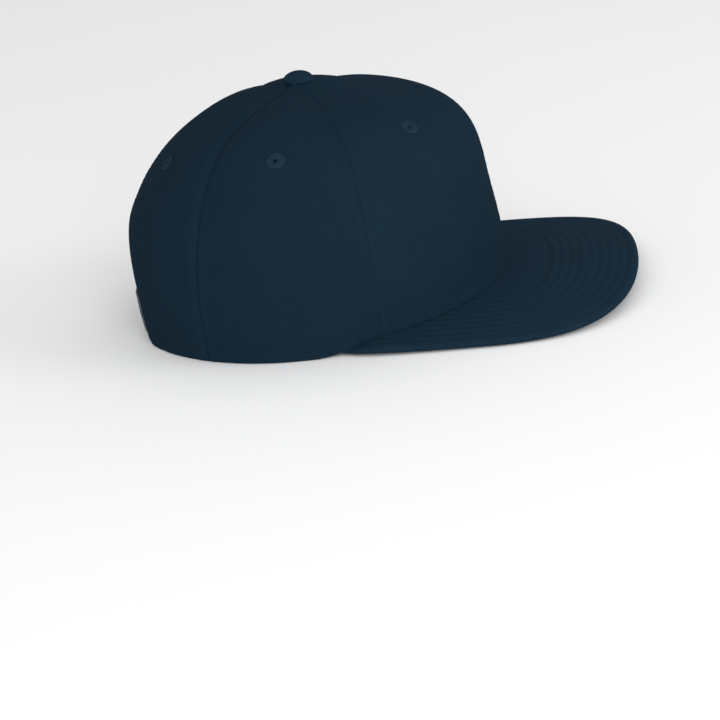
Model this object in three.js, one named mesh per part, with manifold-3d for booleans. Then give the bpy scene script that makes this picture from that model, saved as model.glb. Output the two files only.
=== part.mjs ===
// A six-panel snapback cap with a gently curved visor, in millimetres.
// The front of the cap faces -Y, the wearer's left side is +X and the crown rises along +Z.
// Points are worked out as forward (towards the visor), aside (towards the wearer's left) and up.

import * as THREE from 'three';
import Module from 'manifold-3d';

const wasm = await Module();
wasm.setup();

// Crown. The rim is half an ellipse in front and half an ellipse behind, with one half width.
const rimFrontReach = 103;
const rimBackReach = 88.5;
const rimHalfWidth = 90.5;
const crownHeight = 109.5;
const buttonForward = 9;
const peakHeight = 5;
const peakRadius = 22;
const clothWall = 1.6;

// How round the crown is, seen from the front, the side and the back.
// plan and rise are the powers of its rounded section, and lean is its bow outwards at half height,
// as a share of the crown's height.
const crownForms = {
  front: { plan: 2.45, rise: 6.0, lean: -0.045 },
  side: { plan: 3.6, rise: 2.75, lean: 0 },
  back: { plan: 2.85, rise: 2.2, lean: 0.048 },
};

// Seams. Each half of the rim has three panels, and the shares are measured along it from the front.
const panelShares = [
  { name: 'front', from: 0, to: 0.37, eyeletAcross: 0.56, eyeletHeight: 95.5 },
  { name: 'side', from: 0.37, to: 0.67, eyeletAcross: 0.5, eyeletHeight: 92.5 },
  { name: 'back', from: 0.67, to: 1, eyeletAcross: 0.5, eyeletHeight: 88 },
];
const seamDipDepth = 1;
const seamDipWidth = 6;
const seamDipStart = 40;
const seamDipFull = 80;
const panelTipRadius = 2.4;

// Clearances between pieces.
const seatGap = 0.3;

// Visor.
const visorReach = 168.5;
const visorHalfWidth = 95;
const visorWidestForward = 86;
const visorCornerAngle = 76.5 * Math.PI / 180;
const visorThickness = 3;
const visorSag = 8.5;
const visorTilt = 0.6 * Math.PI / 180;
const visorNose = 0.8;
const visorCornerDrop = 2.6;
const visorCornerThickness = 1.5;
const visorCornerLength = 11;
const edgeDropLength = 5;

// The visor's half outline, as shares of the run that each stretch covers.
const visorCurve = { leave: 0.2, swell: 0.9, shoulder: 0.49, tip: 0.95 };
const visorLeaveDirection = { aside: 0.35, forward: 1 };

// Arched opening at the back and the snap strap across it.
const archHalfWidth = 46.5;
const archHeight = 57;
const archFullness = 2.6;
const archCornerRadius = 5;
const strapWidth = 19;
const strapRise = 3;
const strapThickness = 1.5;
const strapCornerRadius = 6;
const strapSewnLength = 14;
const strapBow = 6;
const strapTipPast = 23;
const snapSpacing = 9;
const snapCount = 7;
const snapsClosed = 5;
const pegRadius = 1.7;
const pegHeadRadius = 2.6;
const pegHeadHeight = 1;

// Sweatband.
const bandHeight = 31;
const bandThickness = 1.2;
const bandRise = 1;
const bandStepLength = 9;

// Button and eyelets.
const buttonRadius = 7.8;
const buttonHeight = 5;
const buttonSideShare = 0.2;
const shankRadius = 1.5;
const backPlateRadius = 4.5;
const backPlateThickness = 1;
const eyeletRadius = 4.4;
const eyeletHoleRadius = 1.1;
const eyeletBarrelRadius = 2.1;
const eyeletStand = 0.5;

// How finely the curved surfaces are divided, and how much closer the columns stand at the seams.
const panelColumns = 11;
const seamCrowding = 0.55;
const leastColumnShare = 0.008;
const panelRows = 15;
const bandColumns = 52;
const bandRows = 3;
const visorRowShares = [0, 0.05, 0.28, 0.52, 0.76];
const strapColumns = 26;
const tipCrowding = 0.35;
const roundSides = 12;

const clothFinish = { color: 0x1b2c3a, roughness: 0.92, metalness: 0 };
const threadFinish = { color: 0x3a4a59, roughness: 0.8, metalness: 0 };
const plasticFinish = { color: 0x16222e, roughness: 0.45, metalness: 0 };
const bandFinish = { color: 0x18242f, roughness: 0.95, metalness: 0 };

const mix = THREE.MathUtils.lerp;
const smooth = THREE.MathUtils.smoothstep;
const quarterTurn = Math.PI / 2;

// A point from its forward, aside and up measures.
function place(forward, aside, up) {
  return new THREE.Vector3(aside, -forward, up);
}

function rimPoint(angle) {
  const reach = Math.cos(angle) > 0 ? rimFrontReach : rimBackReach;
  return { forward: reach * Math.cos(angle), aside: rimHalfWidth * Math.sin(angle) };
}

// The angle round the rim at a share of its half length, measured from the front.
const rimSteps = 720;
const rimLengths = measureRim();

function measureRim() {
  const lengths = [0];
  let last = rimPoint(0);
  for (let i = 1; i <= rimSteps; i++) {
    const next = rimPoint(Math.PI * i / rimSteps);
    const step = Math.hypot(next.forward - last.forward, next.aside - last.aside);
    lengths.push(lengths[i - 1] + step);
    last = next;
  }
  return lengths;
}

function rimAngleAt(share) {
  const wanted = share * rimLengths[rimSteps];
  let i = 1;
  while (i < rimSteps && rimLengths[i] < wanted) i++;
  const part = (wanted - rimLengths[i - 1]) / (rimLengths[i] - rimLengths[i - 1]);
  return Math.PI * (i - 1 + part) / rimSteps;
}

function rimShareAt(angle) {
  const at = angle / Math.PI * rimSteps;
  const i = Math.min(Math.floor(at), rimSteps - 1);
  return mix(rimLengths[i], rimLengths[i + 1], at - i) / rimLengths[rimSteps];
}

// The crown's form at an angle round the rim, mixed from its front, side and back.
function crownFormAt(angle) {
  const weights = {
    front: Math.max(Math.cos(angle), 0) ** 2,
    side: Math.sin(angle) ** 2,
    back: Math.max(-Math.cos(angle), 0) ** 2,
  };
  const form = { plan: 0, rise: 0, lean: 0 };
  for (const [name, weight] of Object.entries(weights)) {
    for (const key of Object.keys(form)) form[key] += weight * crownForms[name][key];
  }
  return form;
}

// A rounded section (reach ^ plan + height ^ rise = 1), met by a ray that climbs at an angle.
function sectionAt(form, climb) {
  const across = Math.cos(climb);
  const up = Math.sin(climb);
  let low = 0.9;
  let high = 1.5;
  for (let i = 0; i < 40; i++) {
    const middle = (low + high) / 2;
    const inside = (middle * across) ** form.plan + (middle * up) ** form.rise < 1;
    if (inside) low = middle;
    else high = middle;
  }
  return { reach: low * across, height: low * up };
}

// The climb at which the crown stands at a height above the rim.
function climbAtHeight(angle, up) {
  const form = crownFormAt(angle);
  const height = up / crownHeight;
  return Math.atan2(height, (1 - height ** form.rise) ** (1 / form.plan));
}

// The climb at which the crown comes within a radius of the button's middle.
function climbAtRadius(angle, radius) {
  const form = crownFormAt(angle);
  const rim = rimPoint(angle);
  const reach = radius / Math.hypot(rim.forward - buttonForward, rim.aside);
  return Math.atan2((1 - reach ** form.plan) ** (1 / form.rise), reach);
}

function peakAt(radius) {
  return peakHeight * Math.exp(-((radius / peakRadius) ** 2));
}

function crownSurface(angle, climb) {
  const form = crownFormAt(angle);
  const rim = rimPoint(angle);
  const section = sectionAt(form, climb);
  const rimReach = Math.hypot(rim.forward - buttonForward, rim.aside);
  const bow = form.lean * crownHeight * Math.sin(Math.PI * section.height);
  const scale = section.reach * (1 + bow / rimReach);
  const up = crownHeight * section.height + peakAt(scale * rimReach);
  return place(buttonForward + (rim.forward - buttonForward) * scale, rim.aside * scale, up);
}

function crownNormal(angle, climb) {
  const step = 0.002;
  const along = crownSurface(angle + step, climb).sub(crownSurface(angle - step, climb));
  const above = crownSurface(angle, climb + step).sub(crownSurface(angle, climb - step));
  return along.cross(above).normalize();
}

// The seams sink a little into the crown where its top rounds over.
const seamDirections = listSeamDirections();

function listSeamDirections() {
  const directions = [];
  for (const share of [0, ...panelShares.map((panel) => panel.to)]) {
    const rim = rimPoint(rimAngleAt(share));
    for (const side of [-1, 1]) {
      directions.push(new THREE.Vector2(rim.forward - buttonForward, side * rim.aside).normalize());
    }
  }
  return directions;
}

function seamDip(point) {
  const plan = new THREE.Vector2(-point.y - buttonForward, point.x);
  const radius = plan.length();
  const beside = seamDirections.filter((direction) => plan.dot(direction) > 0)
    .map((direction) => Math.abs(plan.cross(direction)));
  const nearest = Math.min(...beside);
  const rise = smooth(point.z, seamDipStart, seamDipFull);
  const clearOfButton = radius / (radius + buttonRadius);
  return seamDipDepth * rise * clearOfButton * Math.exp(-((nearest / seamDipWidth) ** 2));
}

// A point of the crown at a depth below its outer face. level keeps the depth horizontal.
function crownPoint(angle, climb, depth, level = false) {
  const point = crownSurface(angle, climb);
  const normal = crownNormal(angle, climb);
  if (level) normal.setZ(0).normalize();
  return point.addScaledVector(normal, -depth - (level ? 0 : seamDip(point)));
}

// The visor's corner, where its outline leaves the rim.
const visorCorner = rimPoint(visorCornerAngle);
const visorCornerShare = rimShareAt(visorCornerAngle);

// The top of the visor at its root in front, so that its sides stand on the table.
const visorRootHeight = visorThickness + visorSag
  + (rimFrontReach - visorWidestForward) * Math.tan(visorTilt);

function cornerNearness(forward, aside) {
  const away = Math.hypot(forward - visorCorner.forward, Math.abs(aside) - visorCorner.aside);
  return Math.exp(-((away / visorCornerLength) ** 2));
}

function visorTop(forward, aside) {
  const tilt = (forward - rimFrontReach) * -Math.tan(visorTilt);
  const sag = visorSag * (aside / visorHalfWidth) ** 2;
  return visorRootHeight + tilt - sag - visorCornerDrop * cornerNearness(forward, aside);
}

function visorDepthAt(forward, aside) {
  return mix(visorThickness, visorCornerThickness, cornerNearness(forward, aside));
}

// The height of the crown's lower edge: over the visor in front, and on the table behind it.
function lowerEdge(angle) {
  const onVisor = Math.min(Math.abs(angle), visorCornerAngle);
  const inner = rimInside(onVisor, clothWall);
  const height = visorTop(inner.forward, inner.aside) + seatGap;
  if (Math.abs(angle) <= visorCornerAngle) return height;
  const rim = rimPoint(Math.abs(angle));
  const past = Math.hypot(rim.forward - visorCorner.forward, rim.aside - visorCorner.aside);
  return height * (1 - smooth(past, 0, edgeDropLength));
}

// A point inside the rim, seen from above, at a depth from the crown's outer face.
function rimInside(angle, depth) {
  const point = crownPoint(angle, 0.0001, depth, true);
  return { forward: -point.y, aside: point.x };
}

// A closed body between two grids of points, one over the other.
function bodyBetween(outer, inner) {
  const solid = new SolidBuilder();
  const rows = outer.length - 1;
  const columns = outer[0].length - 1;
  for (let r = 0; r < rows; r++) {
    for (let c = 0; c < columns; c++) {
      solid.quad(outer[r][c], outer[r][c + 1], outer[r + 1][c + 1], outer[r + 1][c]);
      solid.quad(inner[r][c], inner[r + 1][c], inner[r + 1][c + 1], inner[r][c + 1]);
    }
    solid.quad(outer[r][0], outer[r + 1][0], inner[r + 1][0], inner[r][0]);
    solid.quad(outer[r + 1][columns], outer[r][columns], inner[r][columns], inner[r + 1][columns]);
  }
  for (let c = 0; c < columns; c++) {
    solid.quad(outer[0][c + 1], outer[0][c], inner[0][c], inner[0][c + 1]);
    solid.quad(outer[rows][c], outer[rows][c + 1], inner[rows][c + 1], inner[rows][c]);
  }
  return solid.build();
}

// Collects faces, shares their corners and turns the whole body the right way out.
class SolidBuilder {
  constructor() {
    this.corners = [];
    this.known = new Map();
    this.faces = [];
  }

  corner(point) {
    const key = [point.x, point.y, point.z].map((value) => Math.round(value * 1e4)).join();
    if (!this.known.has(key)) {
      this.known.set(key, this.corners.length);
      this.corners.push(point);
    }
    return this.known.get(key);
  }

  triangle(a, b, c) {
    if (a !== b && b !== c && c !== a) this.faces.push([a, b, c]);
  }

  quad(p, q, r, s) {
    const [a, b, c, d] = [p, q, r, s].map((point) => this.corner(point));
    this.triangle(a, b, c);
    this.triangle(a, c, d);
  }

  build() {
    let volume = 0;
    for (const [a, b, c] of this.faces) {
      volume += this.corners[a].dot(this.corners[b].clone().cross(this.corners[c]));
    }
    const turned = volume < 0 ? this.faces.map(([a, b, c]) => [a, c, b]) : this.faces;
    return new wasm.Manifold(new wasm.Mesh({
      numProp: 3,
      vertProperties: Float32Array.from(this.corners.flatMap((point) => point.toArray())),
      triVerts: Uint32Array.from(turned.flat()),
    }));
  }
}

// A closed three.js geometry as a solid that can be joined and cut.
function solidOf(geometry) {
  const flat = geometry.index ? geometry.toNonIndexed() : geometry;
  const spots = flat.getAttribute('position');
  const solid = new SolidBuilder();
  for (let i = 0; i < spots.count; i += 3) {
    const corners = [0, 1, 2].map((k) => new THREE.Vector3().fromBufferAttribute(spots, i + k));
    solid.triangle(...corners.map((point) => solid.corner(point)));
  }
  return solid.build();
}

function geometryOf(solid) {
  const mesh = solid.getMesh();
  const geometry = new THREE.BufferGeometry();
  geometry.setAttribute('position', new THREE.BufferAttribute(mesh.vertProperties, 3));
  geometry.setIndex(new THREE.BufferAttribute(mesh.triVerts, 1));
  geometry.computeVertexNormals();
  return geometry;
}

// A turned piece from its half section, standing on a point with its axis along a direction.
function turned(profile, point, direction) {
  const section = profile.map(([radius, up]) => new THREE.Vector2(radius, up));
  const geometry = new THREE.LatheGeometry(section, roundSides);
  const turn = new THREE.Quaternion().setFromUnitVectors(new THREE.Vector3(0, 1, 0), direction);
  geometry.applyQuaternion(turn);
  geometry.translate(point.x, point.y, point.z);
  return solidOf(geometry);
}

// The shares round the rim at which a panel has its columns, closer near its two seams
// and at the visor's corner.
function columnShares(panel) {
  const shares = [];
  for (let i = 0; i <= panelColumns; i++) {
    const even = i / panelColumns;
    const eased = even - seamCrowding * Math.sin(2 * Math.PI * even) / (2 * Math.PI);
    shares.push(mix(panel.from, panel.to, eased));
  }
  const halfRim = rimLengths[rimSteps];
  const before = [0.7, 0.35].map((part) => -part * visorCornerLength);
  const after = [0, 0.5, 1].map((part) => part * edgeDropLength);
  const extra = [...before, ...after].map((step) => visorCornerShare + step / halfRim)
    .filter((share) => share > panel.from + leastColumnShare && share < panel.to - leastColumnShare);
  const kept = shares.filter((share) => extra.every((stop) => Math.abs(share - stop) > leastColumnShare));
  return [...kept, ...extra].sort((a, b) => a - b);
}

// The level direction that points from a seam into the panel beside it.
function seamNormal(share, side, into) {
  const rim = rimPoint(rimAngleAt(share));
  const along = place(rim.forward - buttonForward, side * rim.aside, 0).normalize();
  return new THREE.Vector3(-along.y, along.x, 0).multiplyScalar(into * side);
}

function panelGrid(panel, side, depth) {
  const shares = columnShares(panel);
  const first = seamNormal(panel.from, side, 1);
  const last = seamNormal(panel.to, side, -1);
  const grid = [];
  for (let r = 0; r <= panelRows; r++) {
    grid.push(shares.map((share) => {
      const angle = side * rimAngleAt(share);
      const low = climbAtHeight(angle, lowerEdge(angle));
      const top = climbAtRadius(angle, panelTipRadius);
      const climb = mix(low, top, r / panelRows);
      const across = (share - panel.from) / (panel.to - panel.from);
      const point = crownPoint(angle, climb, depth, r === 0);
      point.addScaledVector(first, (1 - across) * seatGap / 2);
      return point.addScaledVector(last, across * seatGap / 2);
    }));
  }
  return grid;
}

// The opening at the back, as a block that passes through the two back panels.
function archCutter() {
  const outline = new THREE.Shape();
  const outer = archHalfWidth + archCornerRadius;
  const steps = 22;
  outline.moveTo(-outer, -archCornerRadius);
  outline.lineTo(-outer, 0);
  outline.absarc(-outer, archCornerRadius, archCornerRadius, -quarterTurn, 0, false);
  for (let i = 1; i < steps; i++) {
    const turn = Math.PI * (1 - i / steps);
    const across = Math.cos(turn);
    const aside = archHalfWidth * Math.sign(across) * Math.abs(across) ** (2 / archFullness);
    const up = archHeight * Math.sin(turn) ** (2 / archFullness);
    if (up > archCornerRadius) outline.lineTo(aside, up);
  }
  outline.absarc(outer, archCornerRadius, archCornerRadius, Math.PI, 3 * quarterTurn, false);
  outline.lineTo(outer, -archCornerRadius);
  const options = { depth: rimBackReach, bevelEnabled: false, curveSegments: 4 };
  const block = new THREE.ExtrudeGeometry(outline, options);
  block.rotateX(quarterTurn);
  block.translate(0, rimBackReach * 1.5, 0);
  return solidOf(block);
}

// Where a panel's eyelet sits: a point on the outer face and the direction out of the crown.
function eyeletSeat(panel, side) {
  const share = mix(panel.from, panel.to, panel.eyeletAcross);
  const angle = side * rimAngleAt(share);
  const climb = climbAtHeight(angle, panel.eyeletHeight);
  return { point: crownPoint(angle, climb, 0), direction: crownNormal(angle, climb) };
}

function panelSolid(panel, side) {
  const shell = bodyBetween(panelGrid(panel, side, 0), panelGrid(panel, side, clothWall));
  const seat = eyeletSeat(panel, side);
  const radius = eyeletBarrelRadius + seatGap;
  const deep = -3 * clothWall;
  const high = 2 * clothWall;
  const through = [[0, deep], [radius, deep], [radius, high], [0, high]];
  const holed = shell.subtract(turned(through, seat.point, seat.direction));
  return panel.name === 'back' ? holed.subtract(archCutter()) : holed;
}

// An eyelet: a ring of stitching that lies on the cloth and lines a small hole through it.
function eyeletSolid(panel, side) {
  const seat = eyeletSeat(panel, side);
  const ringFace = seatGap;
  const insideEnd = -clothWall - eyeletStand;
  const profile = [
    [eyeletHoleRadius, insideEnd],
    [eyeletBarrelRadius, insideEnd],
    [eyeletBarrelRadius, ringFace],
    [eyeletRadius, ringFace],
    [mix(eyeletHoleRadius, eyeletRadius, 0.8), ringFace + eyeletStand],
    [mix(eyeletHoleRadius, eyeletRadius, 0.25), ringFace + eyeletStand],
    [eyeletHoleRadius, ringFace],
    [eyeletHoleRadius, insideEnd],
  ];
  return turned(profile, seat.point, seat.direction);
}

// The button: a covered dome whose shank passes between the panel tips to a plate inside.
function buttonSolid() {
  const seat = place(buttonForward, 0, crownHeight);
  const under = (radius) => peakAt(radius) + seatGap;
  const inside = peakHeight - clothWall - 2 * seatGap;
  const domeSteps = 5;
  const profile = [
    [0, inside - backPlateThickness],
    [backPlateRadius, inside - backPlateThickness],
    [backPlateRadius, inside - seatGap],
    [shankRadius, inside - seatGap],
    [shankRadius, under(0)],
    [buttonRadius * 0.6, under(buttonRadius * 0.6)],
    [buttonRadius * 0.94, under(buttonRadius)],
  ];
  for (let i = 0; i <= domeSteps; i++) {
    const turn = quarterTurn * i / domeSteps;
    const rim = under(buttonRadius) + buttonSideShare * buttonHeight;
    const dome = (1 - buttonSideShare) * buttonHeight * Math.sin(turn);
    profile.push([buttonRadius * Math.cos(turn), rim + dome]);
  }
  profile[profile.length - 1][0] = 0;
  return turned(profile, seat, new THREE.Vector3(0, 0, 1));
}

// Half of the visor's outline, from the corner at the rim to the middle of the front edge.
function visorHalfOutline() {
  const corner = new THREE.Vector2(visorCorner.aside, visorCorner.forward);
  const widest = new THREE.Vector2(visorHalfWidth, visorWidestForward);
  const tip = new THREE.Vector2(0, visorReach);
  const run = widest.y - corner.y;
  const leave = new THREE.Vector2(visorLeaveDirection.aside, visorLeaveDirection.forward).normalize();
  const outline = new THREE.CurvePath();
  outline.add(new THREE.CubicBezierCurve(
    corner,
    corner.clone().addScaledVector(leave, run * visorCurve.leave),
    new THREE.Vector2(widest.x, widest.y - run * visorCurve.swell),
    widest,
  ));
  outline.add(new THREE.CubicBezierCurve(
    widest,
    new THREE.Vector2(widest.x, mix(widest.y, tip.y, visorCurve.shoulder)),
    new THREE.Vector2(widest.x * visorCurve.tip, tip.y),
    tip,
  ));
  return outline;
}

// The shares round the rim at which the visor has its columns: those of the panels over it,
// and one between each two.
function visorColumns() {
  const shares = panelShares.flatMap((panel) => columnShares(panel));
  const stops = [...new Set(shares.filter((share) => share <= visorCornerShare + 1e-9))];
  const between = stops.slice(1).map((share, i) => (share + stops[i]) / 2);
  const half = [...stops, ...between].sort((a, b) => a - b);
  return [...half.slice(1).reverse().map((share) => -share), ...half];
}

function visorSolid() {
  const outline = visorHalfOutline();
  const top = [];
  const bottom = [];
  const columns = visorColumns().map((share) => {
    const side = Math.sign(share) || 1;
    const inner = rimInside(rimAngleAt(Math.abs(share)), clothWall);
    const outer = outline.getPoint(1 - Math.abs(share) / visorCornerShare);
    const root = new THREE.Vector2(inner.forward, side * inner.aside);
    const edge = new THREE.Vector2(outer.y, side * outer.x);
    return { root, edge, length: root.distanceTo(edge) };
  });
  const layer = (grid, share, inset, lift) => grid.push(columns.map(({ root, edge, length }) => {
    const spot = root.clone().lerp(edge, Math.max(share - Math.min(inset / length, 0.3), 0));
    const depth = visorDepthAt(spot.x, spot.y);
    return place(spot.x, spot.y, visorTop(spot.x, spot.y) - depth * (1 - lift));
  }));
  for (const share of visorRowShares) {
    layer(top, share, 0, 1);
    layer(bottom, share, 0, 0);
  }
  layer(top, 1, visorNose, 1);
  layer(bottom, 1, visorNose, 0);
  layer(top, 1, 0, 0.5);
  layer(bottom, 1, 0, 0.5);
  return bodyBetween(top, bottom);
}

// The sweatband steps inwards where the sewn end of the strap lies behind it.
function bandDepth(aside) {
  const strapRoom = strapThickness + seatGap;
  const stepStart = archHalfWidth + strapSewnLength + clothWall + strapRoom;
  return clothWall + seatGap + strapRoom * (1 - smooth(aside, stepStart, stepStart + bandStepLength));
}

function bandLower(angle) {
  const inner = rimInside(Math.min(Math.abs(angle), visorCornerAngle), clothWall);
  const underVisor = visorTop(inner.forward, inner.aside) - visorDepthAt(inner.forward, inner.aside);
  const dropAngle = 2 * edgeDropLength / rimHalfWidth;
  const past = smooth(Math.abs(angle), visorCornerAngle, visorCornerAngle + dropAngle);
  return mix(Math.max(underVisor, bandRise), bandRise, past);
}

function sweatbandSolid() {
  const end = Math.PI - Math.asin((archHalfWidth + archCornerRadius) / rimHalfWidth);
  const endShare = rimShareAt(end);
  const grid = (extra) => {
    const rows = [];
    for (let r = 0; r <= bandRows; r++) {
      const row = [];
      for (let c = 0; c <= bandColumns; c++) {
        const share = mix(-endShare, endShare, c / bandColumns);
        const angle = Math.sign(share) * rimAngleAt(Math.abs(share));
        const up = bandLower(angle) + bandHeight * r / bandRows;
        const behind = Math.abs(angle) > quarterTurn;
        const depth = behind ? bandDepth(Math.abs(rimPoint(angle).aside)) : clothWall + seatGap;
        row.push(crownPoint(angle, climbAtHeight(angle, up), depth + extra, true));
      }
      rows.push(row);
    }
    return rows;
  };
  return bodyBetween(grid(0), grid(bandThickness));
}

// The inside face of the back panels, as how far behind the middle of the cap it lies.
function insideBack(aside, up) {
  let low = quarterTurn;
  let high = Math.PI;
  const depth = clothWall + seatGap;
  for (let i = 0; i < 30; i++) {
    const angle = (low + high) / 2;
    if (crownPoint(angle, climbAtHeight(angle, up), depth, true).x > aside) low = angle;
    else high = angle;
  }
  return crownPoint(low, climbAtHeight(low, up), depth, true).y;
}

// The strap's outer face: along the panels where it is sewn, and in a flat bow across the opening.
function strapFace(aside, up) {
  const away = Math.abs(aside);
  if (away >= archHalfWidth) return insideBack(away, up);
  const start = insideBack(archHalfWidth, up);
  const slope = (start - insideBack(archHalfWidth + 1, up)) * archHalfWidth;
  const t = 1 - away / archHalfWidth;
  const leave = t ** 3 - 2 * t ** 2 + t;
  const arrive = 3 * t ** 2 - 2 * t ** 3;
  return start + slope * leave + strapBow * arrive;
}

// A point of a strap half at a depth under its outer face. lift raises the half that lies outside.
function strapPoint(aside, up, depth, lift) {
  const step = 0.5;
  const slope = (strapFace(aside + step, up) - strapFace(aside - step, up)) / (2 * step);
  const out = new THREE.Vector3(-slope, 1, 0).normalize();
  const point = new THREE.Vector3(aside, strapFace(aside, up), up);
  return point.addScaledVector(out, lift - depth);
}

const strapLayer = strapThickness + seatGap;

// How far a half is raised: the half with the holes passes over the half with the pegs.
function strapLift(side, aside) {
  if (side > 0) return 0;
  const away = -aside;
  return strapLayer * (1 - smooth(away, strapTipPast + strapThickness, archHalfWidth));
}

function strapMiddle() {
  return strapRise + strapWidth / 2;
}

function strapHalf(side) {
  const sewnEnd = archHalfWidth + strapSewnLength;
  const rows = 2;
  const face = (depth) => {
    const grid = [];
    for (let r = 0; r <= rows; r++) {
      const row = [];
      for (let c = 0; c <= strapColumns; c++) {
        const run = c / strapColumns;
        const crowded = mix(run, run ** 3, tipCrowding);
        const fromTip = (sewnEnd + strapTipPast) * crowded;
        const aside = side * (fromTip - strapTipPast);
        const within = Math.max(strapCornerRadius - fromTip, 0);
        const narrow = strapCornerRadius - Math.sqrt(strapCornerRadius ** 2 - within ** 2);
        const up = strapMiddle() + (strapWidth / 2 - narrow) * (2 * r / rows - 1);
        row.push(strapPoint(aside, up, depth, strapLift(side, aside)));
      }
      grid.push(row);
    }
    return grid;
  };
  return bodyBetween(face(0), face(strapThickness));
}

// The places of the snaps on one half, from its tip. Both halves share the closed ones.
function snapPlaces(side) {
  const places = [];
  for (let i = 0; i < snapCount; i++) {
    places.push(side * snapSpacing * (i - (snapsClosed - 1) / 2));
  }
  return places;
}

function snapSeat(aside, side) {
  const point = strapPoint(aside, strapMiddle(), 0, strapLift(side, aside));
  const deeper = strapPoint(aside, strapMiddle(), 1, strapLift(side, aside));
  return { point, direction: point.clone().sub(deeper).normalize() };
}

// The strap half with the pegs, sewn to the wearer's left.
function strapWithPegs() {
  let strap = strapHalf(1);
  const headStart = seatGap + strapThickness + seatGap;
  const profile = [
    [0, -strapThickness / 2],
    [pegRadius, -strapThickness / 2],
    [pegRadius, headStart],
    [pegHeadRadius, headStart],
    [pegHeadRadius, headStart + pegHeadHeight / 2],
    [pegRadius, headStart + pegHeadHeight],
    [0, headStart + pegHeadHeight],
  ];
  for (const aside of snapPlaces(1)) {
    const seat = snapSeat(aside, 1);
    strap = strap.add(turned(profile, seat.point, seat.direction));
  }
  return strap;
}

// The strap half with the holes, sewn to the wearer's right.
function strapWithHoles() {
  let strap = strapHalf(-1);
  const radius = pegRadius + seatGap;
  const reach = 2 * strapThickness;
  const profile = [[0, -reach], [radius, -reach], [radius, reach], [0, reach]];
  for (const aside of snapPlaces(-1)) {
    const seat = snapSeat(aside, -1);
    strap = strap.subtract(turned(profile, seat.point, seat.direction));
  }
  return strap;
}

const cap = new THREE.Group();

function addPiece(name, solid, finish) {
  const mesh = new THREE.Mesh(geometryOf(solid), new THREE.MeshStandardMaterial(finish));
  mesh.name = name;
  cap.add(mesh);
}

for (const [handed, side] of [['right', -1], ['left', 1]]) {
  for (const panel of panelShares) {
    addPiece(`panel_${panel.name}_${handed}`, panelSolid(panel, side), clothFinish);
    addPiece(`eyelet_${panel.name}_${handed}`, eyeletSolid(panel, side), threadFinish);
  }
}
addPiece('button', buttonSolid(), clothFinish);
addPiece('visor', visorSolid(), clothFinish);
addPiece('sweatband', sweatbandSolid(), bandFinish);
addPiece('strap_left', strapWithPegs(), plasticFinish);
addPiece('strap_right', strapWithHoles(), plasticFinish);

// The cap stands with its middle, seen from above, over the origin and its lowest edge at zero.
const extent = new THREE.Box3().setFromObject(cap, true);
const middle = extent.getCenter(new THREE.Vector3());
cap.position.set(-middle.x, -middle.y, -extent.min.z);

export default cap;
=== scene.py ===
"""A navy six-panel snapback cap with a wide stitched visor, as an add-on that builds each piece."""

import math

import bpy
import numpy as np
from mathutils import Matrix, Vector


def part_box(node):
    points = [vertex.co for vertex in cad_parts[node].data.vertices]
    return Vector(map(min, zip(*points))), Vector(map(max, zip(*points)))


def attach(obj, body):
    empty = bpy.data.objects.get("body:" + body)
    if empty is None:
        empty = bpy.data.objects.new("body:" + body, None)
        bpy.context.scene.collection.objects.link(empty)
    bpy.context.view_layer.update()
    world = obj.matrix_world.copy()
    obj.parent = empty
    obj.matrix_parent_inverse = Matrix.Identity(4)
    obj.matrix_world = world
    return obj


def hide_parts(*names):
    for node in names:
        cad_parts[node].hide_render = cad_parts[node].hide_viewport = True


bl_info = {
    "name": "Snapback cap",
    "version": (1, 0, 0),
    "blender": (4, 5, 0),
    "location": "3D View > Sidebar > Cap",
    "description": "Builds a six-panel snapback cap from surfaces worked out with numpy",
    "category": "Add Mesh",
}

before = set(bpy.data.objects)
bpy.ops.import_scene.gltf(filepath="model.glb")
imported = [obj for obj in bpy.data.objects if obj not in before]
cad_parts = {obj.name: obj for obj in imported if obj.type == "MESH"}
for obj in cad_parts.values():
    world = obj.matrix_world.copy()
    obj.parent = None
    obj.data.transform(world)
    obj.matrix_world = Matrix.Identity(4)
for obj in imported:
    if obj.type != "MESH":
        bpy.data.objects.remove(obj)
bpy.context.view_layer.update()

MM = 0.001

# Crown, in metres. The rim is half an ellipse in front and half an ellipse behind.
RIM_FRONT_REACH = 103 * MM
RIM_BACK_REACH = 88.5 * MM
RIM_HALF_WIDTH = 90.5 * MM
CROWN_HEIGHT = 109.5 * MM
BUTTON_FORWARD = 9 * MM
PEAK_HEIGHT = 5 * MM
PEAK_RADIUS = 22 * MM
# How round the crown is in front, at the sides and behind: plan power, rise power and lean.
CROWN_FORMS = np.array([(2.45, 6.0, -0.045), (3.6, 2.75, 0.0), (2.85, 2.2, 0.048)])
PANEL_SHARES = {"front": (0.0, 0.37), "side": (0.37, 0.67), "back": (0.67, 1.0)}
EYELET_PLACES = {"front": (0.56, 95.5 * MM), "side": (0.5, 92.5 * MM), "back": (0.5, 88 * MM)}
PANEL_TIP_RADIUS = 2.4 * MM

# Visor.
VISOR_REACH = 168.5 * MM
VISOR_HALF_WIDTH = 95 * MM
VISOR_WIDEST_FORWARD = 86 * MM
VISOR_CORNER_ANGLE = math.radians(76.5)
VISOR_THICKNESS = 3 * MM
VISOR_SAG = 8.5 * MM
VISOR_SLOPE = math.tan(math.radians(0.6))
VISOR_CORNER_DROP = 2.6 * MM
VISOR_CORNER_THICKNESS = 1.5 * MM
VISOR_CORNER_LENGTH = 11 * MM
EDGE_DROP_LENGTH = 13 * MM

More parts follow.
